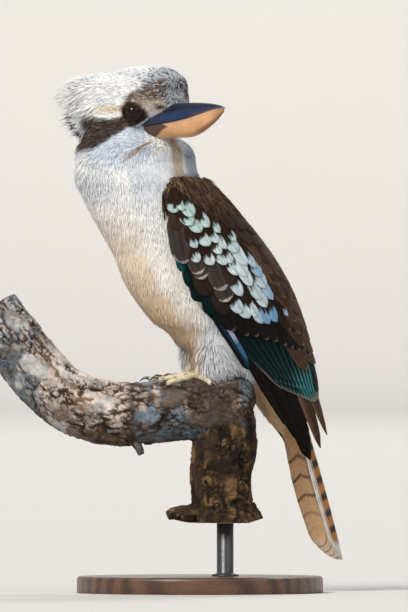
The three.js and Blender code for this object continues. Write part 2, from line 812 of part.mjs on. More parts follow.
function addNode(name, solid, material) {
  const mesh = solid.getMesh();
  const geometry = new THREE.BufferGeometry();
  const places = new Float32Array(mesh.numVert * 3);
  for (let i = 0; i < mesh.numVert; i += 1) {
    places.set(mesh.vertProperties.subarray(i * mesh.numProp, i * mesh.numProp + 3), i * 3);
  }
  geometry.setAttribute("position", new THREE.BufferAttribute(places, 3));
  geometry.setIndex(new THREE.BufferAttribute(mesh.triVerts, 1));
  geometry.computeVertexNormals();
  const made = new THREE.Mesh(geometry, material);
  made.name = name;
  group.add(made);
}

const finish = (color, roughness, metalness = 0) => new THREE.MeshStandardMaterial({ color, roughness, metalness });
const whitePlumage = finish(0xe6e1d8, 0.9);
const brownPlumage = finish(0x3a2820, 0.8);
const barredPlumage = finish(0xc9a27a, 0.8);
const darkHorn = finish(0x1c2026, 0.35);
const paleHorn = finish(0xc99b6d, 0.4);
const darkEye = finish(0x120a06, 0.08);
const footSkin = finish(0xcdbb8c, 0.6);
const clawHorn = finish(0x2a2622, 0.4);
const bark = finish(0x8d7a69, 0.95);
const standWood = finish(0x3d2c22, 0.5);
const standMetal = finish(0x55565a, 0.35, 0.9);

// Feathers and flesh
const body = wholeBody();
const bodyRoom = wholeBody(GAP);
const perchSolid = perch();
const perchRoom = perch(GAP);
const tailSolid = tail(bodyRoom);

const upperBill = mandible(1).subtract(unionOf([nostril(1), nostril(-1)]));
const lowerBill = mandible(-1);
const billRoom = unionOf([mandible(1, GAP), mandible(-1, GAP)]);

const headWhole = unionOf([
  body.trimByPlane([0, 0, 1], CUT_NECK_HIGH + GAP / 2),
  lid(1),
  lid(-1),
  ...crestLocks(),
]);
const headSolid = largest(headWhole.subtract(eyeball(1, GAP)).subtract(eyeball(-1, GAP)).subtract(billRoom));
const neckSolid = body.trimByPlane([0, 0, 1], CUT_NECK_LOW + GAP / 2).trimByPlane([0, 0, -1], -(CUT_NECK_HIGH - GAP / 2));
const torsoSolid = body.trimByPlane([0, 0, -1], -(CUT_NECK_LOW - GAP / 2));

addNode("head", headSolid, whitePlumage);
addNode("neck", neckSolid.subtract(billRoom), whitePlumage);
addNode("torso", largest(torsoSolid.subtract(perchRoom)), whitePlumage);
addNode("bill_upper", upperBill, darkHorn);
addNode("bill_lower", lowerBill, paleHorn);
addNode("eye_right", eyeball(1), darkEye);
addNode("eye_left", eyeball(-1), darkEye);
addNode("wing_left", wing(1, bodyRoom, tailSolid), brownPlumage);
addNode("wing_right", wing(-1, bodyRoom, tailSolid), brownPlumage);
addNode("tail", tailSolid, barredPlumage);

for (const [side, foot] of Object.entries(FEET)) {
  const thighSolid = largest(thigh(foot.hand).subtract(bodyRoom).subtract(perchRoom));
  const claws = TOES.map((toe) => claw(foot, toe).subtract(perchRoom));
  const bare = footSolid(foot).subtract(bodyRoom).subtract(thigh(foot.hand, GAP)).subtract(perchRoom);
  addNode(`thigh_${side}`, thighSolid, whitePlumage);
  addNode(`foot_${side}`, largest(bare), footSkin);
  TOES.forEach((toe, i) => {
    const room = footSolid(foot, GAP);
    addNode(`claw_${side}_${toe.name}`, largest(claws[i].subtract(room)), clawHorn);
  });
}

addNode("perch", perchSolid, bark);

// The stand
const baseOutline = [
  new THREE.Vector2(0, 0),
  new THREE.Vector2(BASE.radius, 0),
  new THREE.Vector2(BASE.radius, BASE.height - BASE.bevel),
  new THREE.Vector2(BASE.radius - BASE.bevel, BASE.height),
  new THREE.Vector2(0, BASE.height),
];
const disc = new THREE.LatheGeometry(baseOutline, 48);
disc.rotateX(Math.PI / 2);
const rod = new THREE.CylinderGeometry(ROD_RADIUS, ROD_RADIUS, STEM_FOOT - BASE.height - 2 * GAP, 20);
rod.rotateX(Math.PI / 2);
rod.translate(18, -3, (STEM_FOOT + BASE.height) / 2);
addNode("stand_base", solidFrom(disc), standWood);
addNode("stand_rod", solidFrom(rod), standMetal);

export default group;
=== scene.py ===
"""A life-size laughing kookaburra on a cut length of branch, held by a plain round display stand.

Laid out as an add-on with one operator for each group of pieces. Shapes are worked out in millimetres as whole numpy
arrays and put into metre meshes by add_piece.
"""

import bpy
import numpy as np
from bpy.props import FloatProperty, FloatVectorProperty, IntProperty, PointerProperty
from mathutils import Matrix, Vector


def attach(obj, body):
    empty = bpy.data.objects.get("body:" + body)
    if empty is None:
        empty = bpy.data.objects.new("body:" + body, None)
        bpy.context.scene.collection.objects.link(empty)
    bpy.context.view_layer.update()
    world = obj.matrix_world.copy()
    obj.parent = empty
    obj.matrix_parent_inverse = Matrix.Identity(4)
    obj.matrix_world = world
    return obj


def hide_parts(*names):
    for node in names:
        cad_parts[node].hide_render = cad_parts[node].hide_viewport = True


bl_info = {
    "name": "Laughing Kookaburra",
    "version": (1, 0, 0),
    "blender": (4, 5, 0),
    "location": "View3D > Sidebar > Kookaburra",
    "description": "Feathers, bill, eyes, feet, branch and stand of a life-size kookaburra",
    "category": "Add Mesh",
}

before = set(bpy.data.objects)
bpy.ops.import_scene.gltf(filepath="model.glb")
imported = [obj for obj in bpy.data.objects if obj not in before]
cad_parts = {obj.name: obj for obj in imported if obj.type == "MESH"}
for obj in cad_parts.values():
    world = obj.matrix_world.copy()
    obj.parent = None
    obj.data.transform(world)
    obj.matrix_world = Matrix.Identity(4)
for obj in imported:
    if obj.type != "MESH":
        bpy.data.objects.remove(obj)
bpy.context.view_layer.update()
MM = 0.001

# ---- sizes, the same as the solids' own, in millimetres

BODY_HEADING = np.radians(208)
HEAD_HEADING = np.radians(-43)
BODY_ZERO = (2, 0)
HEAD_ZERO = (-48, -26)
# Trunk: height, centre behind the body's zero, reach to the belly, to the back and to each side.
TRUNK = [
    (112, 66, 3, 3, 4),
    (118, 63, 7, 8, 9),
    (127, 58, 9, 11, 12),
    (137, 52, 12, 15, 15),
    (147, 45, 17, 20, 20),
    (153, 40, 22, 26, 25),
    (159, 35.5, 28, 31.5, 29),
    (166, 31, 34, 37, 33),
    (177, 24, 40.5, 43.5, 37),
    (188, 18.5, 48, 48, 40),
    (198, 13, 55.5, 53, 42),
    (220, 1, 60.5, 58, 44),
    (245, -16, 55.5, 59.5, 44),
    (273, -36, 53, 53, 42),
    (295, -51, 49, 48, 38.5),
    (310, -55, 45.5, 46.5, 36),
    (325, -55, 45, 50, 35),
    (345, -55, 43, 46, 33),
]
# Head: height, shift forward, reach forward, back and to each side, and how square the section is.
SKULL = [
    (295, 0, 40, 45, 35, 2),
    (312, 0, 38, 47, 33, 2),
    (320, 0, 35, 48, 32, 1.8),
    (325, 0, 33, 48.5, 31, 1.45),
    (329, 0, 33, 49, 30.5, 1.35),
    (333, 0, 34.5, 49, 30.5, 1.32),
    (337, 0, 37.5, 49, 30.5, 1.48),
    (341, 0, 41, 49, 30.5, 1.75),
    (345, 0, 43.5, 48.5, 30.5, 2.1),
    (350, 0, 44.5, 48.5, 31, 2.5),
    (358, 0, 43.5, 47.5, 30, 2.6),
    (365, 1.5, 43.5, 43.5, 26.5, 2.4),
    (370.5, 6.5, 35, 34, 20.5, 2.2),
    (374.5, 12, 23, 20, 14.5, 2.1),
    (377.2, 14, 10, 9, 6, 2),
]
NAPE_BLEND = (298, 346)
THROAT_BLEND = (311, 335)
SKIN_HEIGHTS = (113.5, 376.8)
# Folded wing: height, centre behind the body's zero, reach forward, back and to the side.
WING_SURFACE = [
    (92, 80, 22, 20, 20),
    (98, 79, 24, 20, 22),
    (116, 72, 29, 27, 27),
    (145, 55, 38, 38, 31),
    (160, 42, 44, 48, 36),
    (177, 27, 52, 56, 42),
    (198, 14, 61, 61.5, 48),
    (220, 1, 64, 64.5, 51),
    (245, -16, 61, 65, 50.5),
    (273, -36, 53, 60.5, 47.5),
    (300, -53, 46, 52, 41),
]
# Folded wing: height, lower edge and upper edge, behind the body's zero.
WING_EDGES = [
    (160, 20.5, 80),
    (173, 8.5, 79),
    (188, -9, 76),
    (202, -22.5, 69),
    (216, -33.5, 61),
    (231, -44.5, 51),
    (245, -51.5, 40),
    (259, -56.5, 28),
    (273, -55, 15),
    (285, -55, 3),
    (297, -48, -12),
]
TUCK = 16
EYE = {"forward": 20.8, "side": 20.6, "height": 343.2, "radius": 6.6}
# Bill: distance forward, height of the mouth line, rise above it, depth below it and half width.
BILL = [
    (12, 332, 14.4, 8.4, 14.6),
    (20, 332.7, 14.5, 9, 14.3),
    (30, 333.8, 14.4, 9.4, 13.6),
    (41, 335, 13.7, 10.2, 12.3),
    (52, 336.6, 12.6, 11.9, 10.7),
    (60, 338, 11.2, 12.3, 9.2),
    (68, 340.2, 8.8, 11.5, 7.4),
    (75, 342.4, 6.2, 10, 5.6),
    (82, 344.5, 3.2, 7.6, 3.7),
    (87, 345.2, 1.5, 4, 2),
    (90.3, 344.9, 0.5, 1.2, 0.8),
]
LOWER_BILL_END = 88
NOSTRIL = (46.5, 344.2)
BILL_ROOT = 12
# Tail: its ridge as distance behind the body's zero and height, and the roof shape of its section.
TAIL_ROOT = (66, 163)
TAIL_TIP = (118, 25)
TAIL_DROOP = 7
TAIL_RIDGE = 4
TAIL_WIDTH = 13.5
# Bars across the tail, as distances from its root: on the upper side, and below with how dark each one is.
BAR_START = 75.1
BAR_STEP = 12.3
UNDER_BARS = ((55, 0.2), (66, 0.92), (81, 0.95), (95, 0.9), (108, 0.45), (120, 0.15))
# Branch, stem, stub and twig: centre points with a radius at each.
BRANCH = [
    (-149, 30, 201, 21.5),
    (-134, 26, 180, 22),
    (-115.5, 20, 156, 22),
    (-93, 13, 137, 22.5),
    (-68, 6, 128.5, 23),
    (-43, 2, 128.5, 22.5),
    (-18, -1, 130.8, 22.3),
    (3, -2, 132.2, 23.5),
    (19, -2, 131.5, 24),
    (27, -1, 131, 23.2),
    (33, 0, 129.5, 17.5),
    (37, 0, 128, 9),
]
STEM = [
    (19, -2, 138, 15),
    (19, -2, 122, 22),
    (17, -2, 105, 23.3),
    (14.4, -1, 84, 22),
    (16, 0, 63, 22.5),
    (21, 0, 46, 25),
]
STUB = [(8, -3, 60, 9), (-6, -5, 57, 7), (-18, -6, 57, 5), (-23, -7, 55, 3.5)]
TWIG = [(-48, -3, 110, 4), (-44, -5, 104, 3.2), (-42, -6, 99, 2.6)]
STEM_FOOT = 50
# Toes: turn away from the foot's heading in degrees, length and radius at the root.
TOES = {"inner": (-12, 18, 2.7), "middle": (-1, 26, 3.1), "outer": (13, 21, 2.8), "hind": (148, 14, 2.8)}
FOOT_HEADING = 175
FEET = {"left": (1, (-3, -11)), "right": (-1, (-10, 8))}
ROD_PLACE = (18, -3)
PHOTO_SIZE = (408, 612)
PIXELS_PER_METRE = 1400
CAMERA_PLACE = (0.0029, 0.2049)

# ---- settings a user would change


def colour(name, description, value):
    """A colour setting with its default in linear light."""
    return FloatVectorProperty(name=name, description=description, subtype="COLOR", size=3, default=value, min=0, max=1)


def length(name, description, value):
    """A length setting in metres."""
    return FloatProperty(name=name, description=description, subtype="DISTANCE", unit="LENGTH", default=value, min=0)


def strength(name, description, value):
    """A light's strength."""
    return FloatProperty(name=name, description=description, default=value, min=0)


class PlumageSettings(bpy.types.PropertyGroup):
    """Sizes and colours of the feathers."""

    coat_depth: length("Coat depth", "How far the skin lies under the tips of the small feathers", 0.003)
    tuft_length: length("Tuft length", "Length of a small feather on the breast", 0.0095)
    face_tuft_length: length("Face tuft length", "Length of a small feather round the bill and the eyes", 0.0042)
    crest_length: length("Crest length", "Length of the loose feathers at the back of the crown", 0.0155)
    strand_width: length("Strand width", "Width of one strand of a tuft at its root", 0.00085)
    strands: IntProperty(name="Strands", description="Strands in one coat piece", default=18000, min=100, max=19900)
    vane_thickness: length("Vane thickness", "Thickness of a wing or tail feather", 0.0006)
    white: colour("White", "Crown, cheeks and breast", (0.82, 0.815, 0.80))
    cool_white: colour("Cool white", "Shaded white of throat and flank", (0.56, 0.63, 0.74))
    buff: colour("Buff", "Stain of belly, vent and tail's underside", (0.58, 0.385, 0.20))
    umber: colour("Umber", "Mask, brow and mantle", (0.050, 0.027, 0.017))
    rufous: colour("Rufous", "Tail's upper side and warm edges", (0.34, 0.15, 0.055))
    black_brown: colour("Black-brown", "Flight feathers and coverts", (0.0095, 0.0068, 0.0062))
    pale_blue: colour("Pale blue", "Tips of the wing's middle coverts", (0.70, 0.81, 0.84))
    sky_blue: colour("Sky blue", "Bluer tips near the upper edge of the wing", (0.15, 0.36, 0.62))
    teal: colour("Teal", "Outer webs of the secondaries", (0.006, 0.085, 0.100))


class HornSettings(bpy.types.PropertyGroup):
    """Colours of bill, eyes and feet."""

    upper_bill: colour("Upper bill", "Blue-black horn", (0.013, 0.020, 0.043))
    lower_bill: colour("Lower bill", "Peach-coloured horn", (0.66, 0.36, 0.185))
    bill_stain: colour("Bill stain", "Dark patch at the root of the lower bill", (0.05, 0.032, 0.03))
    iris: colour("Iris", "Dark brown of the eye", (0.012, 0.0055, 0.0035))
    foot: colour("Foot", "Pale yellow skin of toes and shins", (0.72, 0.63, 0.43))
    claw: colour("Claw", "Dark horn of the claws", (0.018, 0.015, 0.014))


class StandSettings(bpy.types.PropertyGroup):
    """Sizes and colours of branch and stand."""

    base_radius: length("Base radius", "Radius of the round base", 0.088)
    base_height: length("Base height", "Height of the round base", 0.012)
    rod_radius: length("Rod radius", "Radius of the rod under the branch", 0.006)
    bark_relief: length("Bark relief", "Depth of the cracks between the bark plates", 0.0030)
    bark_pale: colour("Bark, pale", "Pinkish grey plates of the branch", (0.82, 0.70, 0.63))
    bark_dark: colour("Bark, dark", "Cracks and the branch's underside", (0.05, 0.034, 0.026))
    bark_warm: colour("Bark, warm", "Ochre of the stem", (0.23, 0.13, 0.055))
    lichen: colour("Lichen", "Blue-grey patches", (0.20, 0.29, 0.36))
    base_wood: colour("Base wood", "Dark stained wood", (0.060, 0.028, 0.015))
    rod_paint: colour("Rod paint", "Dark satin metal", (0.06, 0.06, 0.065))


class StageSettings(bpy.types.PropertyGroup):
    """Floor, lights and camera."""

    floor: colour("Floor", "Pale floor and backdrop", (0.56, 0.545, 0.52))
    camera_distance: length("Camera distance", "From the camera to the middle of the bird", 12.0)
    key_strength: strength("Key strength", "Strength of the main soft light", 3.1)
    fill_strength: strength("Fill strength", "Strength of the light beside the camera", 0.9)
    rim_strength: strength("Rim strength", "Strength of the light behind the bird", 1.2)
    sky_strength: strength("Sky strength", "Strength of the even light all round", 0.55)


# ---- small mathematics on whole arrays


def mix(a, b, t):
    """a where t is 0, b where t is 1."""
    return a + (b - a) * t


def smooth(t):
    """A soft step: 0 up to t = 0, 1 from t = 1 on, and 3 t^2 - 2 t^3 between."""
    t = np.clip(t, 0, 1)
    return t * t * (3 - 2 * t)


def window(x, low, high, soft):
    """1 between low and high, falling to 0 over the distance soft on either side."""
    return smooth((x - low) / soft + 0.5) * smooth((high - x) / soft + 0.5)


def unit(v):
    """Vectors made one long."""
    return v / np.maximum(np.linalg.norm(v, axis=-1, keepdims=True), 1e-9)


def curve_through(rows):
    """A cubic Hermite curve through a table's rows, read at values of the first column.

    A row's slope is the rise between its two neighbours over their distance.
    """
    table = np.array(rows, float)
    x = table[:, 0]
    y = table[:, 1:]
    slope = np.empty_like(y)
    slope[1:-1] = (y[2:] - y[:-2]) / (x[2:] - x[:-2])[:, None]
    slope[0] = (y[1] - y[0]) / (x[1] - x[0])
    slope[-1] = (y[-1] - y[-2]) / (x[-1] - x[-2])

    def read(at):
        at = np.asarray(at, float)
        i = np.clip(np.searchsorted(x, at, side="right") - 1, 0, len(x) - 2)
        width = x[i + 1] - x[i]
        t = np.clip((at - x[i]) / width, 0, 1)[..., None]
        width = width[..., None]
        start = (2 * t**3 - 3 * t**2 + 1) * y[i] + (t**3 - 2 * t**2 + t) * width * slope[i]
        return start + (3 * t**2 - 2 * t**3) * y[i + 1] + (t**3 - t**2) * width * slope[i + 1]

    return read


def columns(values):
    """The last axis of an array, as separate arrays."""
    return np.moveaxis(values, -1, 0)


def stacked(*values):
    """Arrays of shapes that fit each other as the columns of one array."""
    return np.stack(np.broadcast_arrays(*values), -1)


def turns(count):
    """Angles once round in equal steps, without the last one, which is the first."""
    return 2 * np.pi * np.arange(count) / count


def paint(base, shade, amount):
    """A colour over another one, by an amount from 0 to 1 at each point."""
    return mix(base, shade, np.clip(amount, 0, 1)[..., None])


def shades(settings, *names):
    """Colour settings as arrays."""
    return [np.array(getattr(settings, name)) for name in names]


def value_noise(points, cell, seed=0):
    """Smooth noise from 0 to 1: random numbers at the corners of a cubic lattice, blended by a soft step."""
    q = np.asarray(points, float) / cell
    whole = np.floor(q).astype(np.int64)
    part = q - whole
    part = part * part * (3 - 2 * part)
    total = np.zeros(q.shape[:-1])
    for corner in range(8):
        step = np.array([corner & 1, (corner >> 1) & 1, corner >> 2])
        n = whole + step
        key = n[..., 0] * 73856093 ^ n[..., 1] * 19349663 ^ n[..., 2] * 83492791 ^ (seed * 2654435761)
        key = (key ^ (key >> 13)) * 1274126177 & 0x7FFFFFFF
        weight = np.prod(np.where(step == 1, part, 1 - part), axis=-1)
        total += weight * ((key ^ (key >> 16)) & 0xFFFF) / 65535
    return total


# ---- the bird's own measures

trunk_at = curve_through(TRUNK)
skull_at = curve_through(SKULL)
wing_at = curve_through(WING_SURFACE)
wing_edges_at = curve_through(WING_EDGES)
bill_at = curve_through(BILL)


def on_body(behind, left, z):
    """A point given as distance behind the body's zero, distance to the bird's left, and height."""
    c, s = np.cos(BODY_HEADING), np.sin(BODY_HEADING)
    return stacked(BODY_ZERO[0] - behind * c - left * s, BODY_ZERO[1] - behind * s + left * c, z)


def on_head(forward, right, z):
    """A point given as distance forward of the head's zero, distance to the bird's right, and height."""
    c, s = np.cos(HEAD_HEADING), np.sin(HEAD_HEADING)
    return stacked(HEAD_ZERO[0] + forward * c + right * s, HEAD_ZERO[1] + forward * s - right * c, z)


def from_body(points):
    """The inverse of on_body: behind, left and height."""
    c, s = np.cos(BODY_HEADING), np.sin(BODY_HEADING)
    x, y = points[..., 0] - BODY_ZERO[0], points[..., 1] - BODY_ZERO[1]
    return -(x * c + y * s), y * c - x * s, points[..., 2]


def from_head(points):
    """The inverse of on_head: forward, right and height."""
    c, s = np.cos(HEAD_HEADING), np.sin(HEAD_HEADING)
    x, y = points[..., 0] - HEAD_ZERO[0], points[..., 1] - HEAD_ZERO[1]
    return x * c + y * s, x * s - y * c, points[..., 2]


BEHIND = on_body(1, 0, 0) - on_body(0, 0, 0)
LEFT = on_body(0, 1, 0) - on_body(0, 0, 0)
FORWARD = on_head(1, 0, 0) - on_head(0, 0, 0)
RIGHT = on_head(0, 1, 0) - on_head(0, 0, 0)
UP = np.array([0.0, 0.0, 1.0])


def oval(angle, front, back, side, square):
    """Reach of an oval in a direction: (|cos| / front or back)^n + (|sin| / side)^n, to the power -1/n."""
    c, s = np.cos(angle), np.sin(angle)
    return ((np.abs(c) / np.where(c > 0, front, back)) ** square + (np.abs(s) / side) ** square) ** (-1 / square)


def skin_point(z, angle, grow=0):
    """A point of trunk, neck and head at a height and an angle in plan: the trunk's oval turning into the head's.

    The back is filled out by up to 4.5 mm where it meets the upper edges of the wings.
    """
    ahead = 0.5 + 0.5 * np.cos(angle - HEAD_HEADING)
    low = mix(NAPE_BLEND[0], THROAT_BLEND[0], ahead)
    high = mix(NAPE_BLEND[1], THROAT_BLEND[1], ahead)
    blend = smooth((z - low) / (high - low))[..., None]
    ray = stacked(np.cos(angle), np.sin(angle), 0)
    behind, front, back, side = columns(trunk_at(z))
    trunk = on_body(behind, 0, z) + ray * (oval(angle - BODY_HEADING, front, back, side, 2) + grow)[..., None]
    shift, front, back, side, square = columns(skull_at(z))
    skull = on_head(shift, 0, z) + ray * (oval(angle - HEAD_HEADING, front, back, side, square) + grow)[..., None]
    point = mix(trunk, skull, blend)
    after, left, _ = from_body(point)
    edge = smooth((np.abs(left) - 5) / 11) * smooth((37 - np.abs(left)) / 8)
    fill = 4.5 * edge * window(z, 160, 286, 22) * smooth((after - behind - 6) / 12)
    return point + ray * fill[..., None]


def body_surface(u, v):
    """The skin as a function of u, once round, and v, from the vent to the crown."""
    return skin_point(mix(*SKIN_HEIGHTS, v), 2 * np.pi * u)


def thigh_surface(hand):
    """An egg for each thigh, as a function of u, once round, and v, from pole to pole."""

    def place(u, v):
        around, lat = 2 * np.pi * u, np.pi * (v - 0.5)
        x, y, z = 17 * np.cos(lat) * np.cos(around), 12 * np.cos(lat) * np.sin(around), 18 * np.sin(lat)
        tilt = np.radians(-34)
        x, z = x * np.cos(tilt) + z * np.sin(tilt), z * np.cos(tilt) - x * np.sin(tilt)
        centre = on_body(6 if hand > 0 else 10, hand * 15.5, 172)
        return centre - x[..., None] * BEHIND + y[..., None] * LEFT + z[..., None] * UP

    return place


def surface_frame(surface, u, v):
    """Point and outward direction on a surface, from its slopes along u and v."""
    step = 1e-3
    point = surface(u, v)
    du = surface(u + step, v) - surface(u - step, v)
    dv = surface(u, np.clip(v + step, 0, 1)) - surface(u, np.clip(v - step, 0, 1))
    return point, unit(np.cross(du, dv))


def wing_side(behind, z):
    """The wing surface's distance from the bird's middle plane: side times sqrt(1 - share^2)."""
    centre, front, back, side = columns(wing_at(z))
    away = behind - centre
    share = np.minimum(0.985, np.abs(away) / np.where(away < 0, front, back))
    return side * np.sqrt(1 - share**2)


def on_wing(hand, behind, z, lift):
    """A point over the wing surface of one side, raised by lift along its outward direction, and that direction."""
    slope_b = (wing_side(behind + 1, z) - wing_side(behind - 1, z)) / 2
    slope_z = (wing_side(behind, z + 1) - wing_side(behind, z - 1)) / 2
    out = unit(-slope_b[..., None] * BEHIND + hand * LEFT - slope_z[..., None] * UP)
    return on_body(behind, hand * wing_side(behind, z), z) + out * lift[..., None], out


def mantle_surface(hand):
    """The upper part of one wing, as a function of u, from its lower edge over its upper one, and v, its height."""

    def place(u, v):
        z = mix(206, 298, v)
        low, high = columns(wing_edges_at(z))
        return on_wing(hand, mix(low + 1, high + 5, u), z, 0.9 + 0 * z)[0]

    return place


tail_run = np.array(TAIL_TIP, float) - np.array(TAIL_ROOT, float)
TAIL_LENGTH = np.hypot(*tail_run)
TAIL_WAY = tail_run / TAIL_LENGTH
TAIL_UP = np.array([-TAIL_WAY[1], TAIL_WAY[0]])


def on_tail(distance, left, up):
    """A point over the tail: a roof with a rounded ridge, sqrt(ridge^2 + left^2) deep, that droops with distance^2."""
    height = up - TAIL_DROOP * (distance / TAIL_LENGTH) ** 2 - np.hypot(TAIL_RIDGE, left) + TAIL_RIDGE
    behind = TAIL_ROOT[0] + TAIL_WAY[0] * distance + TAIL_UP[0] * height
    return on_body(behind, left, TAIL_ROOT[1] + TAIL_WAY[1] * distance + TAIL_UP[1] * height)


# ---- meshes

TUBE_END = 0.4  # how far a tube's middle point stands out at either end, in radii


def grid_faces(rows, across, closed=True):
    """Four-cornered faces of a grid of points, row by row, that may close on itself across."""
    i, j = np.meshgrid(np.arange(rows - 1), np.arange(across if closed else across - 1), indexing="ij")
    k = (j + 1) % across
    faces = np.stack([i * across + j, i * across + k, (i + 1) * across + k, (i + 1) * across + j], -1)
    return faces.reshape(-1, 4)


def cap_faces(ring, centre, flip):
    """Triangles between a ring of corner numbers and one in its middle."""
    after = np.roll(ring, -1)
    pair = (after, ring) if flip else (ring, after)
    return np.stack([*pair, np.full_like(ring, centre)], -1)


def lofted(rings, first, last):
    """A closed surface through rings of points, with a point at each end. rings has shape (rows, across, 3)."""
    rows, across = rings.shape[:2]
    points = np.concatenate([rings.reshape(-1, 3), np.reshape([first, last], (2, 3))])
    ring = np.arange(across)
    low = cap_faces(ring, rows * across, True)
    top = cap_faces((rows - 1) * across + ring, rows * across + 1, False)
    return points, [grid_faces(rows, across), np.concatenate([low, top])]


def facing_out(points, faces):
    """The faces, turned round where the closed surface's signed volume is negative."""
    volume = 0.0
    for group in faces:
        a, b, c = points[group[:, 0]], points[group[:, 1]], points[group[:, 2]]
        volume += np.sum(a * np.cross(b, c))
        if group.shape[1] == 4:
            volume += np.sum(a * np.cross(c, points[group[:, 3]]))
    return faces if volume > 0 else [group[:, ::-1] for group in faces]


def joined(parts):
    """Several (points, faces, tint) as one. Faces of three and four corners stay apart."""
    points, tints = [], []
    groups = {3: [], 4: []}
    start = 0
    for part_points, part_faces, tint in parts:
        points.append(part_points)
        tints.append(np.broadcast_to(tint, (len(part_points), 3)))
        for group in part_faces:
            groups[group.shape[1]].append(group + start)
        start += len(part_points)
    faces = [np.concatenate(group) for group in groups.values() if group]
    return np.concatenate(points), faces, np.concatenate(tints)


def add_piece(name, points, faces, material, tint=None, maps=None, replaces=(), normals=None):
    """One smooth mesh from points in millimetres; tint, maps and normals hold one colour, place or way per point."""
    mesh = bpy.data.meshes.new(name)
    corners = np.concatenate([group.ravel() for group in faces]).astype(np.int32)
    sizes = np.concatenate([np.full(len(group), group.shape[1]) for group in faces])
    starts = np.concatenate([[0], np.cumsum(sizes)[:-1]]).astype(np.int32)
    mesh.vertices.add(len(points))
    mesh.vertices.foreach_set("co", (points * MM).ravel().astype(np.float32))
    mesh.loops.add(len(corners))
    mesh.loops.foreach_set("vertex_index", corners)
    mesh.polygons.add(len(sizes))
    mesh.polygons.foreach_set("loop_start", starts)
    mesh.update(calc_edges=True)
    mesh.shade_smooth()
    if tint is not None:
        rgba = np.ones((len(points), 4), np.float32)
        rgba[:, :3] = np.clip(tint, 0, 1)
        mesh.attributes.new("tint", "FLOAT_COLOR", "POINT").data.foreach_set("color", rgba.ravel())
    for map_name, places in (maps or {}).items():
        layer = mesh.uv_layers.new(name=map_name)
        layer.data.foreach_set("uv", places[corners].ravel().astype(np.float32))
    if mesh.validate(verbose=False):
        raise RuntimeError(f"{name} had broken faces")
    if normals is not None:
        mesh.normals_split_custom_set_from_vertices(normals.astype(np.float32))
    mesh.materials.append(material)
    piece = bpy.data.objects.new(name, mesh)
    bpy.context.scene.collection.objects.link(piece)
    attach(piece, "root")
    if replaces:
        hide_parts(*replaces)
    return piece


def rays_round(path, angle, side_way):
    """Directions along a path, and those that point away from it at each angle, the first of them near side_way."""
    along = unit(np.gradient(path, axis=0))
    normal = unit(side_way - (along @ side_way)[:, None] * along)
    across = np.cross(along, normal)
    return along, np.cos(angle)[None, :, None] * normal[:, None] + np.sin(angle)[None, :, None] * across[:, None]


def tube(path, radii, sides, side_way, swell=None):
    """A closed tube round a path: rings of radius r in the plane across the path, turned by side_way.

    swell(u, angle) may scale the radius along the tube and round it.
    """
    angle = turns(sides)
    along, ray = rays_round(path, angle, side_way)
    u = np.linspace(0, 1, len(path))[:, None]
    r = np.asarray(radii, float)[:, None] * (1 if swell is None else swell(u, angle[None]))
    r = np.broadcast_to(r, (len(path), sides))[..., None]
    start, end = (path[k] + way * TUBE_END * along[k] * radii[k] for k, way in ((0, -1), (-1, 1)))
    points, faces = lofted(path[:, None] + r * ray, start, end)
    return points, facing_out(points, faces)


def lathe(profile, sides, centre):
    """A closed turned surface: a profile of (radius, height) carried round a vertical axis."""
    profile = np.array(profile, float)
    angle = turns(sides)
    r, z = profile[:, 0, None], profile[:, 1, None]
    rings = stacked(centre[0] + r * np.cos(angle), centre[1] + r * np.sin(angle), z)
    points, faces = lofted(rings, (*centre, profile[0, 1]), (*centre, profile[-1, 1]))
    return points, facing_out(points, faces)


# ---- materials


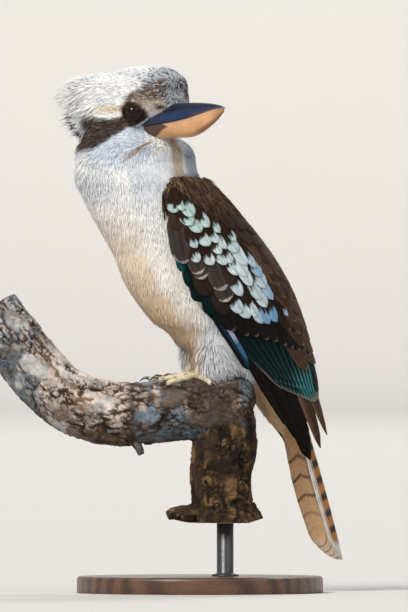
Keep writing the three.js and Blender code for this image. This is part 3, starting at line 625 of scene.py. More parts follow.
class Finish:
    """A material with one Principled shader, and short ways to add the nodes that colour and roughen it."""

    def __init__(self, name, **sockets):
        self.material = bpy.data.materials.new(name)
        self.material.use_nodes = True
        self.nodes = self.material.node_tree.nodes
        self.links = self.material.node_tree.links
        self.shader = self.nodes["Principled BSDF"]
        for socket, value in sockets.items():
            self.shader.inputs[socket.replace("_", " ")].default_value = value
        self.place = self.add("ShaderNodeTexCoord").outputs["Object"]

    def tint(self):
        """The piece's own colour at each point."""
        return self.add("ShaderNodeAttribute", attribute_name="tint").outputs["Color"]

    def let_light_in(self, weight, radius):
        """Light scattered under the surface, with its reach in red, green and blue."""
        self.shader.inputs["Subsurface Weight"].default_value = weight
        self.shader.inputs["Subsurface Radius"].default_value = radius

    def shaded(self, *factors):
        """The base colour: the first colour times the others."""
        product = factors[0]
        for factor in factors[1:]:
            product = self.blend(1.0, product, factor, "MULTIPLY")
        self.set("Base Color", product)

    def add(self, kind, inputs=None, **settings):
        """A node with its settings, and its inputs linked or given a value."""
        node = self.nodes.new(kind)
        for key, value in settings.items():
            setattr(node, key, value)
        for key, value in (inputs or {}).items():
            if isinstance(value, bpy.types.NodeSocket):
                self.links.new(value, node.inputs[key])
            else:
                node.inputs[key].default_value = value
        return node

    def stretched(self, vector, scale):
        """The vector, scaled by three numbers."""
        return self.add("ShaderNodeMapping", {"Vector": vector, "Scale": scale}).outputs["Vector"]

    def noise(self, scale, detail=3.0, rough=0.5, vector=None):
        """Cloudy noise from 0 to 1."""
        inputs = {"Vector": vector or self.place, "Scale": scale, "Detail": detail, "Roughness": rough}
        return self.add("ShaderNodeTexNoise", inputs).outputs["Fac"]

    def ramp(self, value, *stops):
        """Colours or greys along a value."""
        node = self.add("ShaderNodeValToRGB", {"Fac": value})
        elements = node.color_ramp.elements
        while len(elements) < len(stops):
            elements.new(0.5)
        for element, (position, shade) in zip(elements, stops):
            element.position = position
            element.color = (*shade, 1) if isinstance(shade, tuple) else (shade, shade, shade, 1)
        return node.outputs["Color"]

    def blend(self, factor, a, b, kind="MIX"):
        """Two colours mixed, or multiplied where kind says so."""
        node = self.add("ShaderNodeMix", data_type="RGBA", blend_type=kind)
        for index, value in ((0, factor), (6, a), (7, b)):
            if isinstance(value, bpy.types.NodeSocket):
                self.links.new(value, node.inputs[index])
            else:
                node.inputs[index].default_value = (*value, 1) if index else value
        return node.outputs[2]

    def bump(self, height, strength, distance):
        """Relief on the shader's normal."""
        inputs = {"Height": height, "Strength": strength, "Distance": distance}
        node = self.add("ShaderNodeBump", inputs)
        self.links.new(node.outputs["Normal"], self.shader.inputs["Normal"])

    def set(self, socket, value):
        """Links a value to one of the shader's sockets."""
        self.links.new(value, self.shader.inputs[socket])


def plumage_finish(name):
    """Soft feather finish: the piece's own tint with fine variation, a faint gloss and a little light let through."""
    look = Finish(name, Roughness=0.9, Specular_IOR_Level=0.05)
    look.let_light_in(0.06, (0.003, 0.002, 0.0015))
    look.shaded(look.tint(), look.ramp(look.noise(900, 3), (0.25, 0.90), (0.75, 1.0)))
    look.bump(look.noise(1600, 2), 0.35, 0.0004)
    return look.material


def vane_finish(name):
    """Finish of a flight feather or covert: its tint with barbs that slant away from the shaft, and a faint gloss."""
    look = Finish(name, Roughness=0.5, Specular_IOR_Level=0.05)
    tint = look.tint()
    place = look.add("ShaderNodeUVMap", uv_map="vane").outputs["UV"]
    inputs = {"Vector": place, "Scale": 9.0, "Distortion": 1.2, "Detail": 1.0}
    barbs = look.add("ShaderNodeTexWave", inputs, bands_direction="DIAGONAL")
    shade = look.ramp(barbs.outputs["Fac"], (0.0, 0.82), (1.0, 1.0))
    cloud = look.ramp(look.noise(420, 3), (0.3, 0.80), (0.7, 1.0))
    look.shaded(tint, shade, cloud)
    look.set("Roughness", look.ramp(look.noise(250, 2), (0.3, 0.46), (0.7, 0.62)))
    look.bump(barbs.outputs["Fac"], 0.3, 0.00025)
    return look.material


# ---- markings of the small feathers

# The mask's upper and lower edge: distance forward and height. The mantle's edge: height and distance behind.
MASK_TOP = curve_through(
    [(-46, 340), (-36, 339), (-29, 338.5), (-14, 339.8), (-4, 338.8), (4, 338.4)]
    + [(10, 339), (15, 340), (20, 339.5), (24, 336), (28, 333)]
)
MASK_FOOT = curve_through(
    [(-46, 319), (-40, 318), (-34, 316.5), (-25, 315), (-13, 314.5), (-3, 315.5), (3, 319.5)]
    + [(8, 324.5), (11, 328), (14, 330.6), (18, 331.6), (22, 332.3), (28, 332.6)]
)
MANTLE_EDGE = curve_through(
    [(206, 60), (214, 48), (222, 37), (230, 29), (240, 19), (250, 8)]
    + [(258, -1), (265, -16), (271, -34), (276, -62), (298, -70)]
)
CROWN_FOOT = 344
# Fold of the cheek: a place on it as distance forward and height, its slope forward with height, and its heights.
CREASE = (30.1, 321.8)
CREASE_SLOPE = 0.72
CREASE_HEIGHTS = (308.5, 323)
EYE_PATCH = (8.8, 8.2)


def markings(points, settings, draw):
    """Colours of skin and small feathers at points, the same on both sides but for painted shade on one side.

    Each marking is a soft-edged window in distance forward, distance to the side and height. draw is a chance from 0
    to 1 per point, the same along a strand, and streaks are the strands whose chance lies under the window's.
    """
    white, cool, buff, umber, rufous = shades(settings, "white", "cool_white", "buff", "umber", "rufous")
    forward, right, z = from_head(points)
    behind, left, _ = from_body(points)
    side, flank = np.abs(right), np.abs(left)
    cloud = value_noise(points, 9, 3)
    fine = value_noise(points, 3.2, 5)

    rgb = np.broadcast_to(white, (len(points), 3)).copy()
    # breast and belly
    low = smooth((312 - z) / 30)
    # cool grey clouds over breast and neck: partly the feathers' own grey, partly painted shade
    rgb = paint(rgb, cool, 0.60 * smooth((cloud - 0.15) * 2) * smooth((345 - z) / 12) * smooth((z - 262) / 30))
    middle = window(flank, -30, 20 + 12 * cloud, 22) * window(z, 120, 262, 50)
    rgb = paint(rgb, buff, low * middle * (0.42 + 0.30 * smooth((250 - z) / 70) + 0.22 * fine))
    # painted shade: darker buff down the bird's right side of the breast, on that side only
    rgb = paint(rgb, buff, 0.25 * low * smooth((flank - 16) / 14) * window(z, 236, 312, 30) * (left < 0))
    rgb = paint(rgb, white * (1.0, 0.97, 0.90), 0.6 * window(flank, 26, 60, 10) * window(z, 165, 240, 20))
    # lighter buff at the vent: partly its own pale colour, partly painted light against the wing's shade
    rgb = paint(rgb, buff * (1.3, 1.3, 1.35), 0.8 * smooth((160 - z) / 14))
    rgb = paint(rgb, umber * 5, 0.15 * (draw < 0.10) * window(z, 150, 300, 24))
    thigh = window(behind, -14, 34, 10) * window(z, 140, 206, 16) * smooth((flank - 6) / 8)
    # painted shade: the thighs greyer and cooler than the breast
    rgb = paint(rgb, mix(cool, white, 0.45), 0.85 * thigh)
    # mantle and rump
    centre = trunk_at(z)[..., 0]
    back = smooth((behind - centre - 4) / 12) * smooth((299 + 3 * cloud - z) / 5) * smooth((z - 140) / 10)
    rgb = paint(rgb, umber * (0.8 + 1.5 * fine[:, None]), back)
    rgb = paint(rgb, rufous, back * 0.35 * (draw < 0.3))
    # crown: white with a few shafts, dark streaks towards the bill
    crown = smooth((z - CROWN_FOOT) / 6)
    rgb = paint(rgb, buff * (1.1, 1.15, 1.3), 0.30 * crown * (draw < 0.16))
    rgb = paint(rgb, cool, 0.10 * crown + 0.35 * crown * smooth((cloud - 0.45) * 4))
    streak = crown * smooth((forward - 15) / 24) * (0.3 + 0.7 * smooth((z - 349) / 9))
    rgb = paint(rgb, cool * 0.62, 0.75 * smooth((forward - 24) / 12) * crown)
    rgb = paint(rgb, umber * 1.1, 0.88 * (draw < 0.34 * streak))
    rgb = paint(rgb, umber * 0.9, smooth((forward - 42) / 2) * smooth((z - 346) / 3) * (draw < 0.6))
    # warm brow over the eye
    line = 349 + 0.3 * (forward - 20)
    brow = window(forward, 18, 43, 5) * window(z - line, -4, 4 + 0.30 * (forward - 14), 4) * smooth((side - 5) / 6)
    russet = mix(umber, rufous, 0.20) * (0.5 + 0.7 * fine[:, None])
    rgb = paint(rgb, russet, brow * (draw < 0.86) * (0.70 + 0.30 * fine))
    rgb = paint(rgb, buff, 0.55 * window(forward, -8, 16, 8) * window(z, 342, 347.5, 3.5) * smooth((side - 14) / 8))
    lores = window(forward, 27, 42, 5) * window(z, 343, 352, 4) * smooth((side - 6) / 5)
    rgb = paint(rgb, buff * (0.8, 0.85, 1.0), 0.5 * lores)
    bristles = window(forward, 37, 44, 3) * window(z, 344.5, 347.5, 1.5) * smooth((side - 8) / 3)
    rgb = paint(rgb, umber, 0.9 * bristles)
    # mask behind the eye
    top, foot = MASK_TOP(forward)[..., 0], MASK_FOOT(forward)[..., 0]
    ragged = 2.2 * (fine - 0.5) + 3.2 * (draw - 0.5) * smooth((12 - forward) / 20)
    mask = smooth((top + ragged - z) / 2.4 + 0.5) * smooth((z - foot - ragged) / 2.4 + 0.5)
    mask *= window(forward, -37 + 8 * draw, 27, 7)
    mask *= smooth((side - 9) / 8)
    # painted shade: cooler white on the cheeks under the mask
    cheek_shade = window(forward, -6, 34, 8) * window(z, 306, 333, 6) * smooth((side - 10) / 8)
    rgb = paint(rgb, cool, cheek_shade * (0.45 + 0.5 * cloud))
    rgb = paint(rgb, umber * (0.40 + 0.7 * fine[:, None]), mask * (0.98 - 0.10 * (draw > 0.8)))
    # pale line under the eye and pale lores
    eye = np.hypot((forward - EYE["forward"] - 1.6) / EYE_PATCH[0], (z - EYE["height"] + 0.8) / EYE_PATCH[1])
    eye = eye + 0.30 * (fine - 0.5)
    rgb = paint(rgb, umber * (0.55 + 0.6 * fine[:, None]), smooth((1.16 - eye) / 0.34) * smooth((side - 8) / 4))
    rise = z - 333.6 - 0.6 * (forward - 21.4)
    pale_line = window(rise, -1.6, 0.9, 1.0) * window(forward, 13, 35, 4) * smooth((side - 6) / 4)
    rgb = paint(rgb, cool * (1.0, 0.94, 1.0), pale_line * 0.92)
    # fold of the cheek, from the gape down and back, as painted shade: a darker buff line in the fold and darker grey
    # on its throat side
    fold = CREASE_SLOPE * (z - CREASE[1])
    crease = np.abs(forward - CREASE[0] - fold + 1.2 * (fine - 0.5))
    flat_side = smooth((side - 10) / 5)
    below = 0.5 * smooth((6 - crease) / 5) * window(z, 310, 324, 4) * flat_side * (forward > CREASE[0] + fold)
    rgb = paint(rgb, cool * 0.62, below)
    rgb = paint(rgb, buff * 0.55, 0.95 * smooth((1.7 - crease) / 1.0) * window(z, *CREASE_HEIGHTS, 2) * flat_side)
    # painted shade on the throat under the bill, on one side only: tan near the middle, slate further round
    throat_shade_tan, throat_shade_slate = buff * (0.72, 0.85, 1.2), cool * (0.42, 0.47, 0.52)
    rgb = paint(rgb, throat_shade_tan, 0.85 * window(forward, 30, 60, 4) * window(z, 292, 326, 8) * window(right, -13, -2, 5))
    rgb = paint(rgb, throat_shade_slate, 0.65 * window(forward, 24, 60, 8) * window(z, 290, 318, 8) * window(right, -60, -16, 5))
    shade = 0.97 + 0.05 * (37 * draw % 1) - 0.08 * (cloud - 0.5)
    return rgb * shade[:, None]


def lie_of_coat(points, out):
    """The way small feathers lie: back from the bill over the head, down and back over the body."""
    _, _, z = from_head(points)
    head = smooth((z - 298) / 34)[:, None]
    slope = mix(0.75, 0.18, smooth((z - 318) / 30))[:, None]
    way = mix(0.35 * BEHIND - UP, -FORWARD - slope * UP, head)
    way = way - np.sum(way * out, -1, keepdims=True) * out
    return unit(way + 1e-6)


def lie_of_crest(points, out):
    """The way the loose feathers at the back of the crown stand: level and back, a little up above and down below."""
    _, right, z = from_head(points)
    way = -FORWARD + 0.30 * smooth((z - 352) / 12)[:, None] * UP - 0.45 * smooth((350 - z) / 14)[:, None] * UP
    way = way + 0.25 * np.sign(right)[:, None] * RIGHT
    away = np.sum(way * out, -1, keepdims=True)
    return unit(way - 0.72 * away * out)


def crest_weight(points):
    """The back of the crown and the nape under it."""
    forward, _, _ = from_head(points)
    return smooth((-forward - 22) / 14)


# ---- small feathers as tufts of strands

STRANDS_IN_TUFT = 5
POINTS_IN_STRAND = 7
FAN = 0.16  # angle between neighbouring strands of a tuft, in radians
BAKE_PATCH = 0.003
# Pieces of the coat: lowest and highest share of the skin's height, and share of the strands that it gets.
COAT_BANDS = {
    "coat_vent": (0.0, 0.20, 0.55),
    "coat_belly": (0.20, 0.40, 1.0),
    "coat_breast": (0.40, 0.575, 1.0),
    "coat_throat": (0.575, 0.745, 1.0),
    "coat_face": (0.745, 0.875, 1.0),
    "coat_crown": (0.875, 1.0, 1.0),
}

CREST_BAND = (0.80, 0.99)
COAT_SEEDS = {"body": 100, "thigh": 200, "mantle": 300, "crest": 400}
SIDES = ((1, "left"), (-1, "right"))


def scatter(surface, count, low, high, weight, random):
    """Places spread over a surface by area times weight: cells of a grid drawn by chance, then moved in the cell."""
    rows, across = 120, 160
    u, v = np.meshgrid((np.arange(across) + 0.5) / across, low + (high - low) * (np.arange(rows) + 0.5) / rows)
    u, v = u.ravel(), v.ravel()
    half_u, half_v = 0.5 / across, 0.5 * (high - low) / rows
    du = surface(u + half_u, v) - surface(u - half_u, v)
    dv = surface(u, v + half_v) - surface(u, v - half_v)
    share = np.linalg.norm(np.cross(du, dv), axis=-1) * weight(surface(u, v))
    cell = random.choice(len(u), count, p=share / share.sum())
    jitter = random.random((2, count)) * 2 - 1
    return u[cell] + half_u * jitter[0], np.clip(v[cell] + half_v * jitter[1], 0, 1)


def strands(root, out, lie, reach, width, lift, random):
    """Tufts of strands, each a three-sided blade that leaves the skin, bends over and tapers to a point.

    A strand runs along root + reach (lie s + out (lift s - 0.45 lift s^2)) for s from 0 to 1, fanned about out. Its
    shading normals are out turned a little up and to either side, so that strands lie together as soft down. Returns
    points, faces, normals and the share of the tint at each point, which is lower at the root as painted shade.
    """
    n, k = len(root), STRANDS_IN_TUFT
    side = np.cross(out, lie)
    fan = (np.arange(k) - (k - 1) / 2) * FAN + 0.10 * random.standard_normal((n, k))
    way = np.cos(fan)[..., None] * lie[:, None] + np.sin(fan)[..., None] * side[:, None]
    across = np.cross(np.broadcast_to(out[:, None], way.shape), way)
    start = root[:, None] + side[:, None] * (fan * reach[:, None] * 0.35)[..., None]
    reach = reach[:, None] * (0.75 + 0.5 * random.random((n, k)))
    lift = lift[:, None] * (0.7 + 0.6 * random.random((n, k)))
    points = np.empty((n, k, POINTS_IN_STRAND, 3))
    normals = np.empty_like(points)
    normals[:] = (out + 0.35 * UP)[:, None, None] + 0.10 * random.standard_normal((n, k, 1, 3))
    for row, s in enumerate((0.0, 0.5, 1.0)):
        rise = (lift * s - 0.45 * lift * s * s) * reach - 0.25 * (s == 0)
        middle = start + way * (reach * s)[..., None] + out[:, None] * rise[..., None]
        if s == 1.0:
            points[:, :, -1] = middle
            break
        half = 0.5 * width[:, None, None] * (0.8 if s == 0 else 1.0)
        points[:, :, 3 * row] = middle - across * half
        points[:, :, 3 * row + 1] = middle + across * half
        points[:, :, 3 * row + 2] = middle + out[:, None] * half * 0.4
        normals[:, :, 3 * row] -= 0.4 * across
        normals[:, :, 3 * row + 1] += 0.4 * across
    # painted shade: each strand darker at its root than at its tip
    share = np.array([0.90, 0.90, 0.90, 0.99, 0.99, 0.99, 1.02]) * (0.97 + 0.06 * random.random((n, k, 1)))
    base = POINTS_IN_STRAND * np.arange(n * k)[:, None]
    quads = np.array([[0, 1, 4, 3], [1, 2, 5, 4], [2, 0, 3, 5]])
    tris = np.array([[3, 4, 6], [4, 5, 6], [5, 3, 6], [0, 2, 1]])
    faces = [(base[:, None] + quads[None]).reshape(-1, 4), (base[:, None] + tris[None]).reshape(-1, 3)]
    return points.reshape(-1, 3), faces, unit(normals).reshape(-1, 3), share.reshape(-1, 1)


def bake_map(u, v):
    """One small patch per tuft at its root's place on the unwrapped skin."""
    k = STRANDS_IN_TUFT
    x = (np.arange(k)[:, None] + np.array([0.1, 0.9, 0.5, 0.2, 0.8, 0.5, 0.5])) / k - 0.5
    y = np.broadcast_to(np.array([0, 0, 0, 0.5, 0.5, 0.5, 1.0]) - 0.5, x.shape)
    place = np.stack([np.clip(u, 0.002, 0.998), np.clip(v, 0.002, 0.998)], -1)
    return (place[:, None, None] + BAKE_PATCH * np.stack([x, y], -1)[None]).reshape(-1, 2)


def coat_weight(points):
    """How thickly tufts stand: full, thin under the folded wings, and denser on the head."""
    behind, left, z = from_body(points)
    low, high = columns(wing_edges_at(z))
    covered = window(behind, low + 12, high - 5, 6) * window(z, 168, 288, 8) * smooth((np.abs(left) - 12) / 8)
    return mix(1.0, 0.06, covered) * mix(1.0, 1.25, smooth((z - 312) / 20)) * mix(0.01, 1, smooth((z - 124) / 8))


def mantle_weight(points):
    """Where the shoulder's small brown feathers stand: above the pale coverts, and along the wing's upper edge."""
    behind, _, z = from_body(points)
    return smooth((behind - MANTLE_EDGE(z)[..., 0]) / 5) * smooth((z - 214) / 16)


def mantle_colours(points, settings, draw):
    """Brown with darker and warm pale streaks, feather by feather."""
    umber, black, buff = shades(settings, "umber", "black_brown", "buff")
    draw = draw[:, None]
    fine = value_noise(points, 4, 17)[:, None]
    rgb = umber * (0.75 + 0.9 * fine)
    rgb = np.where(draw < 0.28, black * 1.1, rgb)
    rgb = np.where(draw > 0.86, mix(rgb, buff, 0.17), rgb)
    _, _, z = from_body(points)
    return mix(rgb, mix(rgb, buff, 0.12), smooth((z - 270) / 14)[:, None] * (draw > 0.6))


def feather_lengths(points, settings):
    """Length and lift of a small feather: short on the face, longest and loose at the back of the crown."""
    forward, right, z = from_head(points)
    behind, left, _ = from_body(points)
    side = np.abs(right)
    body, face, crest = settings.tuft_length / MM, settings.face_tuft_length / MM, settings.crest_length / MM
    near_eye = smooth((20 - np.hypot(forward - EYE["forward"], z - EYE["height"])) / 12) * smooth((side - 8) / 6)
    front = smooth((z - 308) / 22) * smooth((forward + 4) / 34)
    reach = mix(body, face, np.maximum(front, near_eye))
    rear = smooth((z - 326) / 12) * smooth((-forward - 2) / 20)
    reach = mix(reach, crest, rear)
    vent = smooth((176 - z) / 14) * smooth((behind - 24) / 12)
    reach = mix(reach, 0.62 * body, vent)
    fringe = window(z, 144, 192, 8) * smooth((np.abs(left) - 10) / 8) * window(behind, -20, 36, 8)
    reach = mix(reach, 1.45 * body, fringe)
    crown = smooth((z - 346) / 10) * (1 - rear)
    reach = mix(reach, 0.85 * body, crown * smooth((30 - forward) / 14))
    lift = mix(0.24, 0.22, front) + 0.16 * rear - 0.10 * vent
    return reach, lift


class KOOKABURRA_OT_skin(bpy.types.Operator):
    """Adds the skin of head, neck, torso and thighs, inside the tips of the small feathers"""

    bl_idname = "kookaburra.add_skin"
    bl_label = "Add skin"

    def execute(self, context):
        settings = context.scene.kookaburra_plumage
        depth = settings.coat_depth / MM
        random = np.random.default_rng(11)
        parts = []
        rows, across = 150, 160
        z = np.linspace(*SKIN_HEIGHTS, rows)[:, None]
        angle = (2 * np.pi * np.arange(across) / across)[None]
        rings = skin_point(z + 0 * angle, angle + 0 * z, -depth * np.ones((rows, across)))
        rings[..., 2] -= depth * smooth((z - 360) / 17)
        low = on_body(trunk_at(SKIN_HEIGHTS[0])[0], 0, SKIN_HEIGHTS[0] - 1)
        top = on_head(skull_at(SKIN_HEIGHTS[1])[0], 0, SKIN_HEIGHTS[1] + 0.6 - depth)
        parts.append(lofted(rings, low, top))
        for hand in (1, -1):
            u, v = np.meshgrid(np.arange(48) / 48, np.linspace(0.02, 0.98, 28))
            place, out = surface_frame(thigh_surface(hand), u, v)
            place = place - out * depth * 0.7
            parts.append(lofted(place, place[0].mean(0), place[-1].mean(0)))
        parts = [(points, facing_out(points, faces), (0, 0, 0)) for points, faces in parts]
        points, faces, _ = joined(parts)
        # painted shade: the skin a little darker than the strands over it
        tint = markings(points, settings, random.random(len(points))) * 0.92
        nodes = ("head", "neck", "torso", "thigh_left", "thigh_right")
        add_piece("skin", points, faces, plumage_finish("down"), tint, replaces=nodes)
        return {"FINISHED"}


class KOOKABURRA_OT_coat(bpy.types.Operator):
    """Adds the small feathers of head, neck, body and thighs as tufts of strands"""

    bl_idname = "kookaburra.add_coat"
    bl_label = "Add small feathers"

    def execute(self, context):
        settings = context.scene.kookaburra_plumage
        finish = plumage_finish("small_feathers")
        mantle = plumage_finish("mantle_feathers")

        def tufts(share):
            return int(settings.strands * share) // STRANDS_IN_TUFT

        for index, (name, (low, high, share)) in enumerate(COAT_BANDS.items()):
            seed = COAT_SEEDS["body"] + index
            self.cover(name, body_surface, tufts(share), (low, high), coat_weight, finish, settings, seed)
        crest = (body_surface, tufts(1 / 8), CREST_BAND, crest_weight, finish, settings, COAT_SEEDS["crest"])
        self.cover("coat_crest", *crest, lie_of=lie_of_crest)
        for index, (hand, side) in enumerate(SIDES):
            thigh = (thigh_surface(hand), tufts(1 / 3), (0.02, 0.98), lambda p: np.ones(len(p)), finish)
            self.cover(f"coat_thigh_{side}", *thigh, settings, COAT_SEEDS["thigh"] + index)
            shoulder = (mantle_surface(hand), tufts(0.9), (0, 1), mantle_weight, mantle)
            self.cover(f"coat_mantle_{side}", *shoulder, settings, COAT_SEEDS["mantle"] + index, mantle_colours)
        return {"FINISHED"}

    def cover(self, name, surface, count, band, weight, finish, settings, seed, colours=markings, lie_of=lie_of_coat):
        """One coat piece: tufts over a band of a surface."""
        random = np.random.default_rng(seed)
        depth = settings.coat_depth / MM
        u, v = scatter(surface, count, *band, weight, random)
        point, out = surface_frame(surface, u, v)
        axis = on_body(trunk_at(point[:, 2])[:, 0], 0, point[:, 2])
        out = out * np.sign(np.mean(np.sum(out * (point - axis), -1)))
        lie = lie_of(point, out)
        reach, lift = feather_lengths(point, settings)
        width = settings.strand_width / MM * (0.8 + 0.4 * random.random(count)) * mix(0.8, 1.0, smooth((reach - 4) / 5))
        root = point - out * (depth * np.minimum(1, reach / 7))[:, None]
        points, faces, normals, share = strands(root, out, lie, reach, width, lift, random)
        chance = np.repeat(random.random(count * STRANDS_IN_TUFT), POINTS_IN_STRAND)
        tint = colours(points, settings, chance) * share
        add_piece(name, points, faces, finish, tint, {"OFBake": bake_map(u, v)}, normals=normals)


# ---- wing and tail feathers as vanes


def vane_grid(count, along, across):
    """Shares of the length and places across, from -1 to 1, for a set of vanes."""
    s, t = np.meshgrid(np.linspace(0, 1, along + 1), np.linspace(-1, 1, across + 1), indexing="ij")
    shape = (count, *s.shape)
    return np.broadcast_to(s, shape), np.broadcast_to(t, shape)


def blade_width(share, roundness, ragged):
    """Half width of a blade from 0 to 1: it widens from the root and ends round, with a slightly uneven edge."""
    to_tip = np.clip((1 - share) / roundness, 0, 1)
    return mix(0.62, 1, smooth(share / 0.3)) * np.sqrt(np.maximum(0.03, 1 - (1 - to_tip) ** 2)) * (1 + ragged)


def closed_vanes(middle, out, thickness):
    """Closed thin plates: two copies of each grid of points, apart by the thickness, joined round their rims.

    Thickness falls to a third at the rim and grows on the shaft, so that each vane is a flat lens.
    """
    count, rows, across = middle.shape[:3]
    t = np.linspace(-1, 1, across)
    s = np.linspace(0, 1, rows)
    lens = 1 - 0.7 * t**4
    shaft = 0.9 * np.exp(-((t / 0.12) ** 2))
    half = 0.5 * thickness * (lens[None, :] + shaft[None, :] * (1 - s[:, None]))[None, ..., None]
    points = np.stack([middle + out * half, middle - out * half * 0.7], 1).reshape(-1, 3)
    faces = grid_faces(rows, across, closed=False)
    under = rows * across
    i, j = np.arange(rows - 1), np.arange(across - 1)
    at = np.arange(under).reshape(rows, across)
    rim = np.concatenate(
        [
            np.stack([at[0, j + 1], at[0, j]], -1),
            np.stack([at[i, 0], at[i + 1, 0]], -1),
            np.stack([at[-1, j], at[-1, j + 1]], -1),
            np.stack([at[i + 1, -1], at[i, -1]], -1),
        ]
    )
    side = np.stack([rim[:, 0], rim[:, 1], rim[:, 1] + under, rim[:, 0] + under], -1)
    one = np.concatenate([faces, faces[:, ::-1] + under, side])
    start = 2 * under * np.arange(count)[:, None, None]
    return points, facing_out(points, [(one[None] + start).reshape(-1, 4)])


def vane_maps(count, rows, across, lengths, widths):
    """The vane map, in centimetres across and along a feather, and OFBake, with each feather in a cell of its own."""
    s, t = vane_grid(count, rows - 1, across - 1)
    vane = stacked(np.abs(t) * widths[:, None, None] / 20, s * lengths[:, None, None] / 10)
    cells = int(np.ceil(np.sqrt(2 * count)))
    face = np.arange(2)[None, :, None, None]
    cell = 2 * np.arange(count)[:, None, None, None] + face
    x = (cell % cells + 0.08 + 0.84 * (t[:, None] + 1) / 2) / cells
    y = (cell // cells + 0.08 + 0.84 * s[:, None]) / cells
    vane = np.repeat(vane[:, None], 2, 1)
    return {"OFBake": np.stack([x, y], -1).reshape(-1, 2), "vane": vane.reshape(-1, 2)}


# Coverts whose tip is pale: tip behind the body's zero and height, width, length of the pale part, and blueness.
PALE_TIPS = [
    (-49, 271, 8, 5, 0.15),
    (-41.5, 272.5, 7, 5, 0.05),
    (-33.5, 268.5, 9, 8, 0.05),
    (-34.5, 262.5, 9, 6, 0.05),
    (-28, 257.5, 9, 7, 0.05),
    (-21.5, 261, 8, 7, 0.05),
    (-12.5, 257, 6, 6, 0.05),
    (-21.5, 248, 9, 7, 0.05),
    (-14.5, 250, 7, 6, 0.05),
    (-31, 246.5, 6, 5, 0.25),
    (-8, 245.5, 6, 8, 0.0),
    (-12.5, 242, 7, 6, 0.0),
    (1, 251, 6, 5, 0.05),
    (1.5, 243, 9, 8, 0.05),
    (-29, 236.5, 7, 5, 0.1),
    (-18.5, 234.5, 8, 6, 0.05),
    (-8.5, 234.5, 8, 7, 0.1),
    (-3.5, 235.5, 7, 6, 0.1),
    (0.5, 227, 7, 9, 0.0),
    (9, 234, 9, 13, 0.05),
    (8.5, 226, 9, 13, 0.05),
    (12.5, 219.5, 8, 13, 0.05),
    (4.5, 212.5, 7, 9, 0.15),
    (17, 232, 6, 9, 0.35),
    (21.5, 226, 8, 8, 0.6),
    (25, 218, 9, 10, 0.3),
    (31.5, 209.5, 7, 13, 0.6),
    (20.5, 209.5, 8, 11, 0.15),
    (25.5, 204.5, 8, 10, 0.1),
    (6, 200.5, 9, 8, 0.15),
    (12, 197, 9, 10, 0.08),
    (18, 197.5, 6, 9, 0.05),
    (23, 193, 7, 10, 0.3),
    (29, 192.5, 7, 10, 0.85),
    (35.5, 194, 7, 9, 0.9),
    (46, 198, 5, 5, 0.5),
]
# Coverts with a thin pale fringe: tip, width and length.
FRINGED_TIPS = [
    (-38.5, 235.5, 16, 42),
    (-27, 228, 12, 20),
    (-24.5, 224.5, 12, 20),
    (-9.5, 216.5, 15, 26),
    (-5.5, 208.5, 14, 22),
]
# Long flight feathers: root, tip, width, lift at the root, and whether brown.
PRIMARIES = [
    (-3, 189, 59, 117, 7, -2.8, 0),
    (3, 188, 68, 107, 8, -2.9, 0),
    (9, 187, 76, 98, 8, -2.9, 0),
    (13, 189, 77, 94.5, 9, -2.6, 0),
    (18, 191, 75, 101, 9, -2.4, 0),
    (23, 193, 72.5, 108, 9, -2.2, 0),
    (28, 195, 69.5, 115, 9, -2.0, 0),
    (35, 197, 84.5, 103.5, 10.5, -1.9, 1),
    (38, 198, 82.5, 108, 10, -1.7, 1),
    (42, 199, 91.5, 113, 11, -1.6, 1),
    (46, 200, 89, 118, 10, -1.4, 1),
]
SECONDARY_TIPS = curve_through([(0, 55, 146), (3, 65, 141), (7, 76, 136.5), (10, 81, 139.5)])
# Tiers of coverts: number, height of the lowest and the highest tip, length, width and kind.
COVERT_TIERS = [
    (10, 188, 169, 32, 13, 2),
    (10, 201, 183, 27, 12.5, 3),
    (9, 213, 197, 24, 12.5, 3),
    (9, 225, 209, 22, 12, 4),
    (9, 237, 221, 21, 12, 4),
    (8, 249, 233, 20, 11.5, 4),
    (8, 260, 245, 18, 11, 4),
    (7, 270, 256, 16, 10, 4),
]
# Teal feathers along the wing's lower edge: tip and width.
EDGE_TIPS = [
    (-50, 249, 7),
    (-46, 239, 7),
    (-41, 229, 7.5),
    (-34, 218, 9),
    (-27, 208, 11),
    (-18, 199, 11),
    (-10, 192, 9),
]
# Kinds of wing feather, as numbers in a row.
PRIMARY, SECONDARY, FIRST_COVERT, LAST_COVERT, PALE_TIP, FRINGED, EDGE, SCAPULAR, BROWN_PRIMARY, BAR, BAR_SIDE = (
    0, 1, 2, 5, 6, 7, 8, 9, 10, 11, 12,
)

LILAC, CYAN, SLATE = (0.50, 0.50, 0.66), (0.06, 0.30, 0.33), (0.07, 0.06, 0.065)


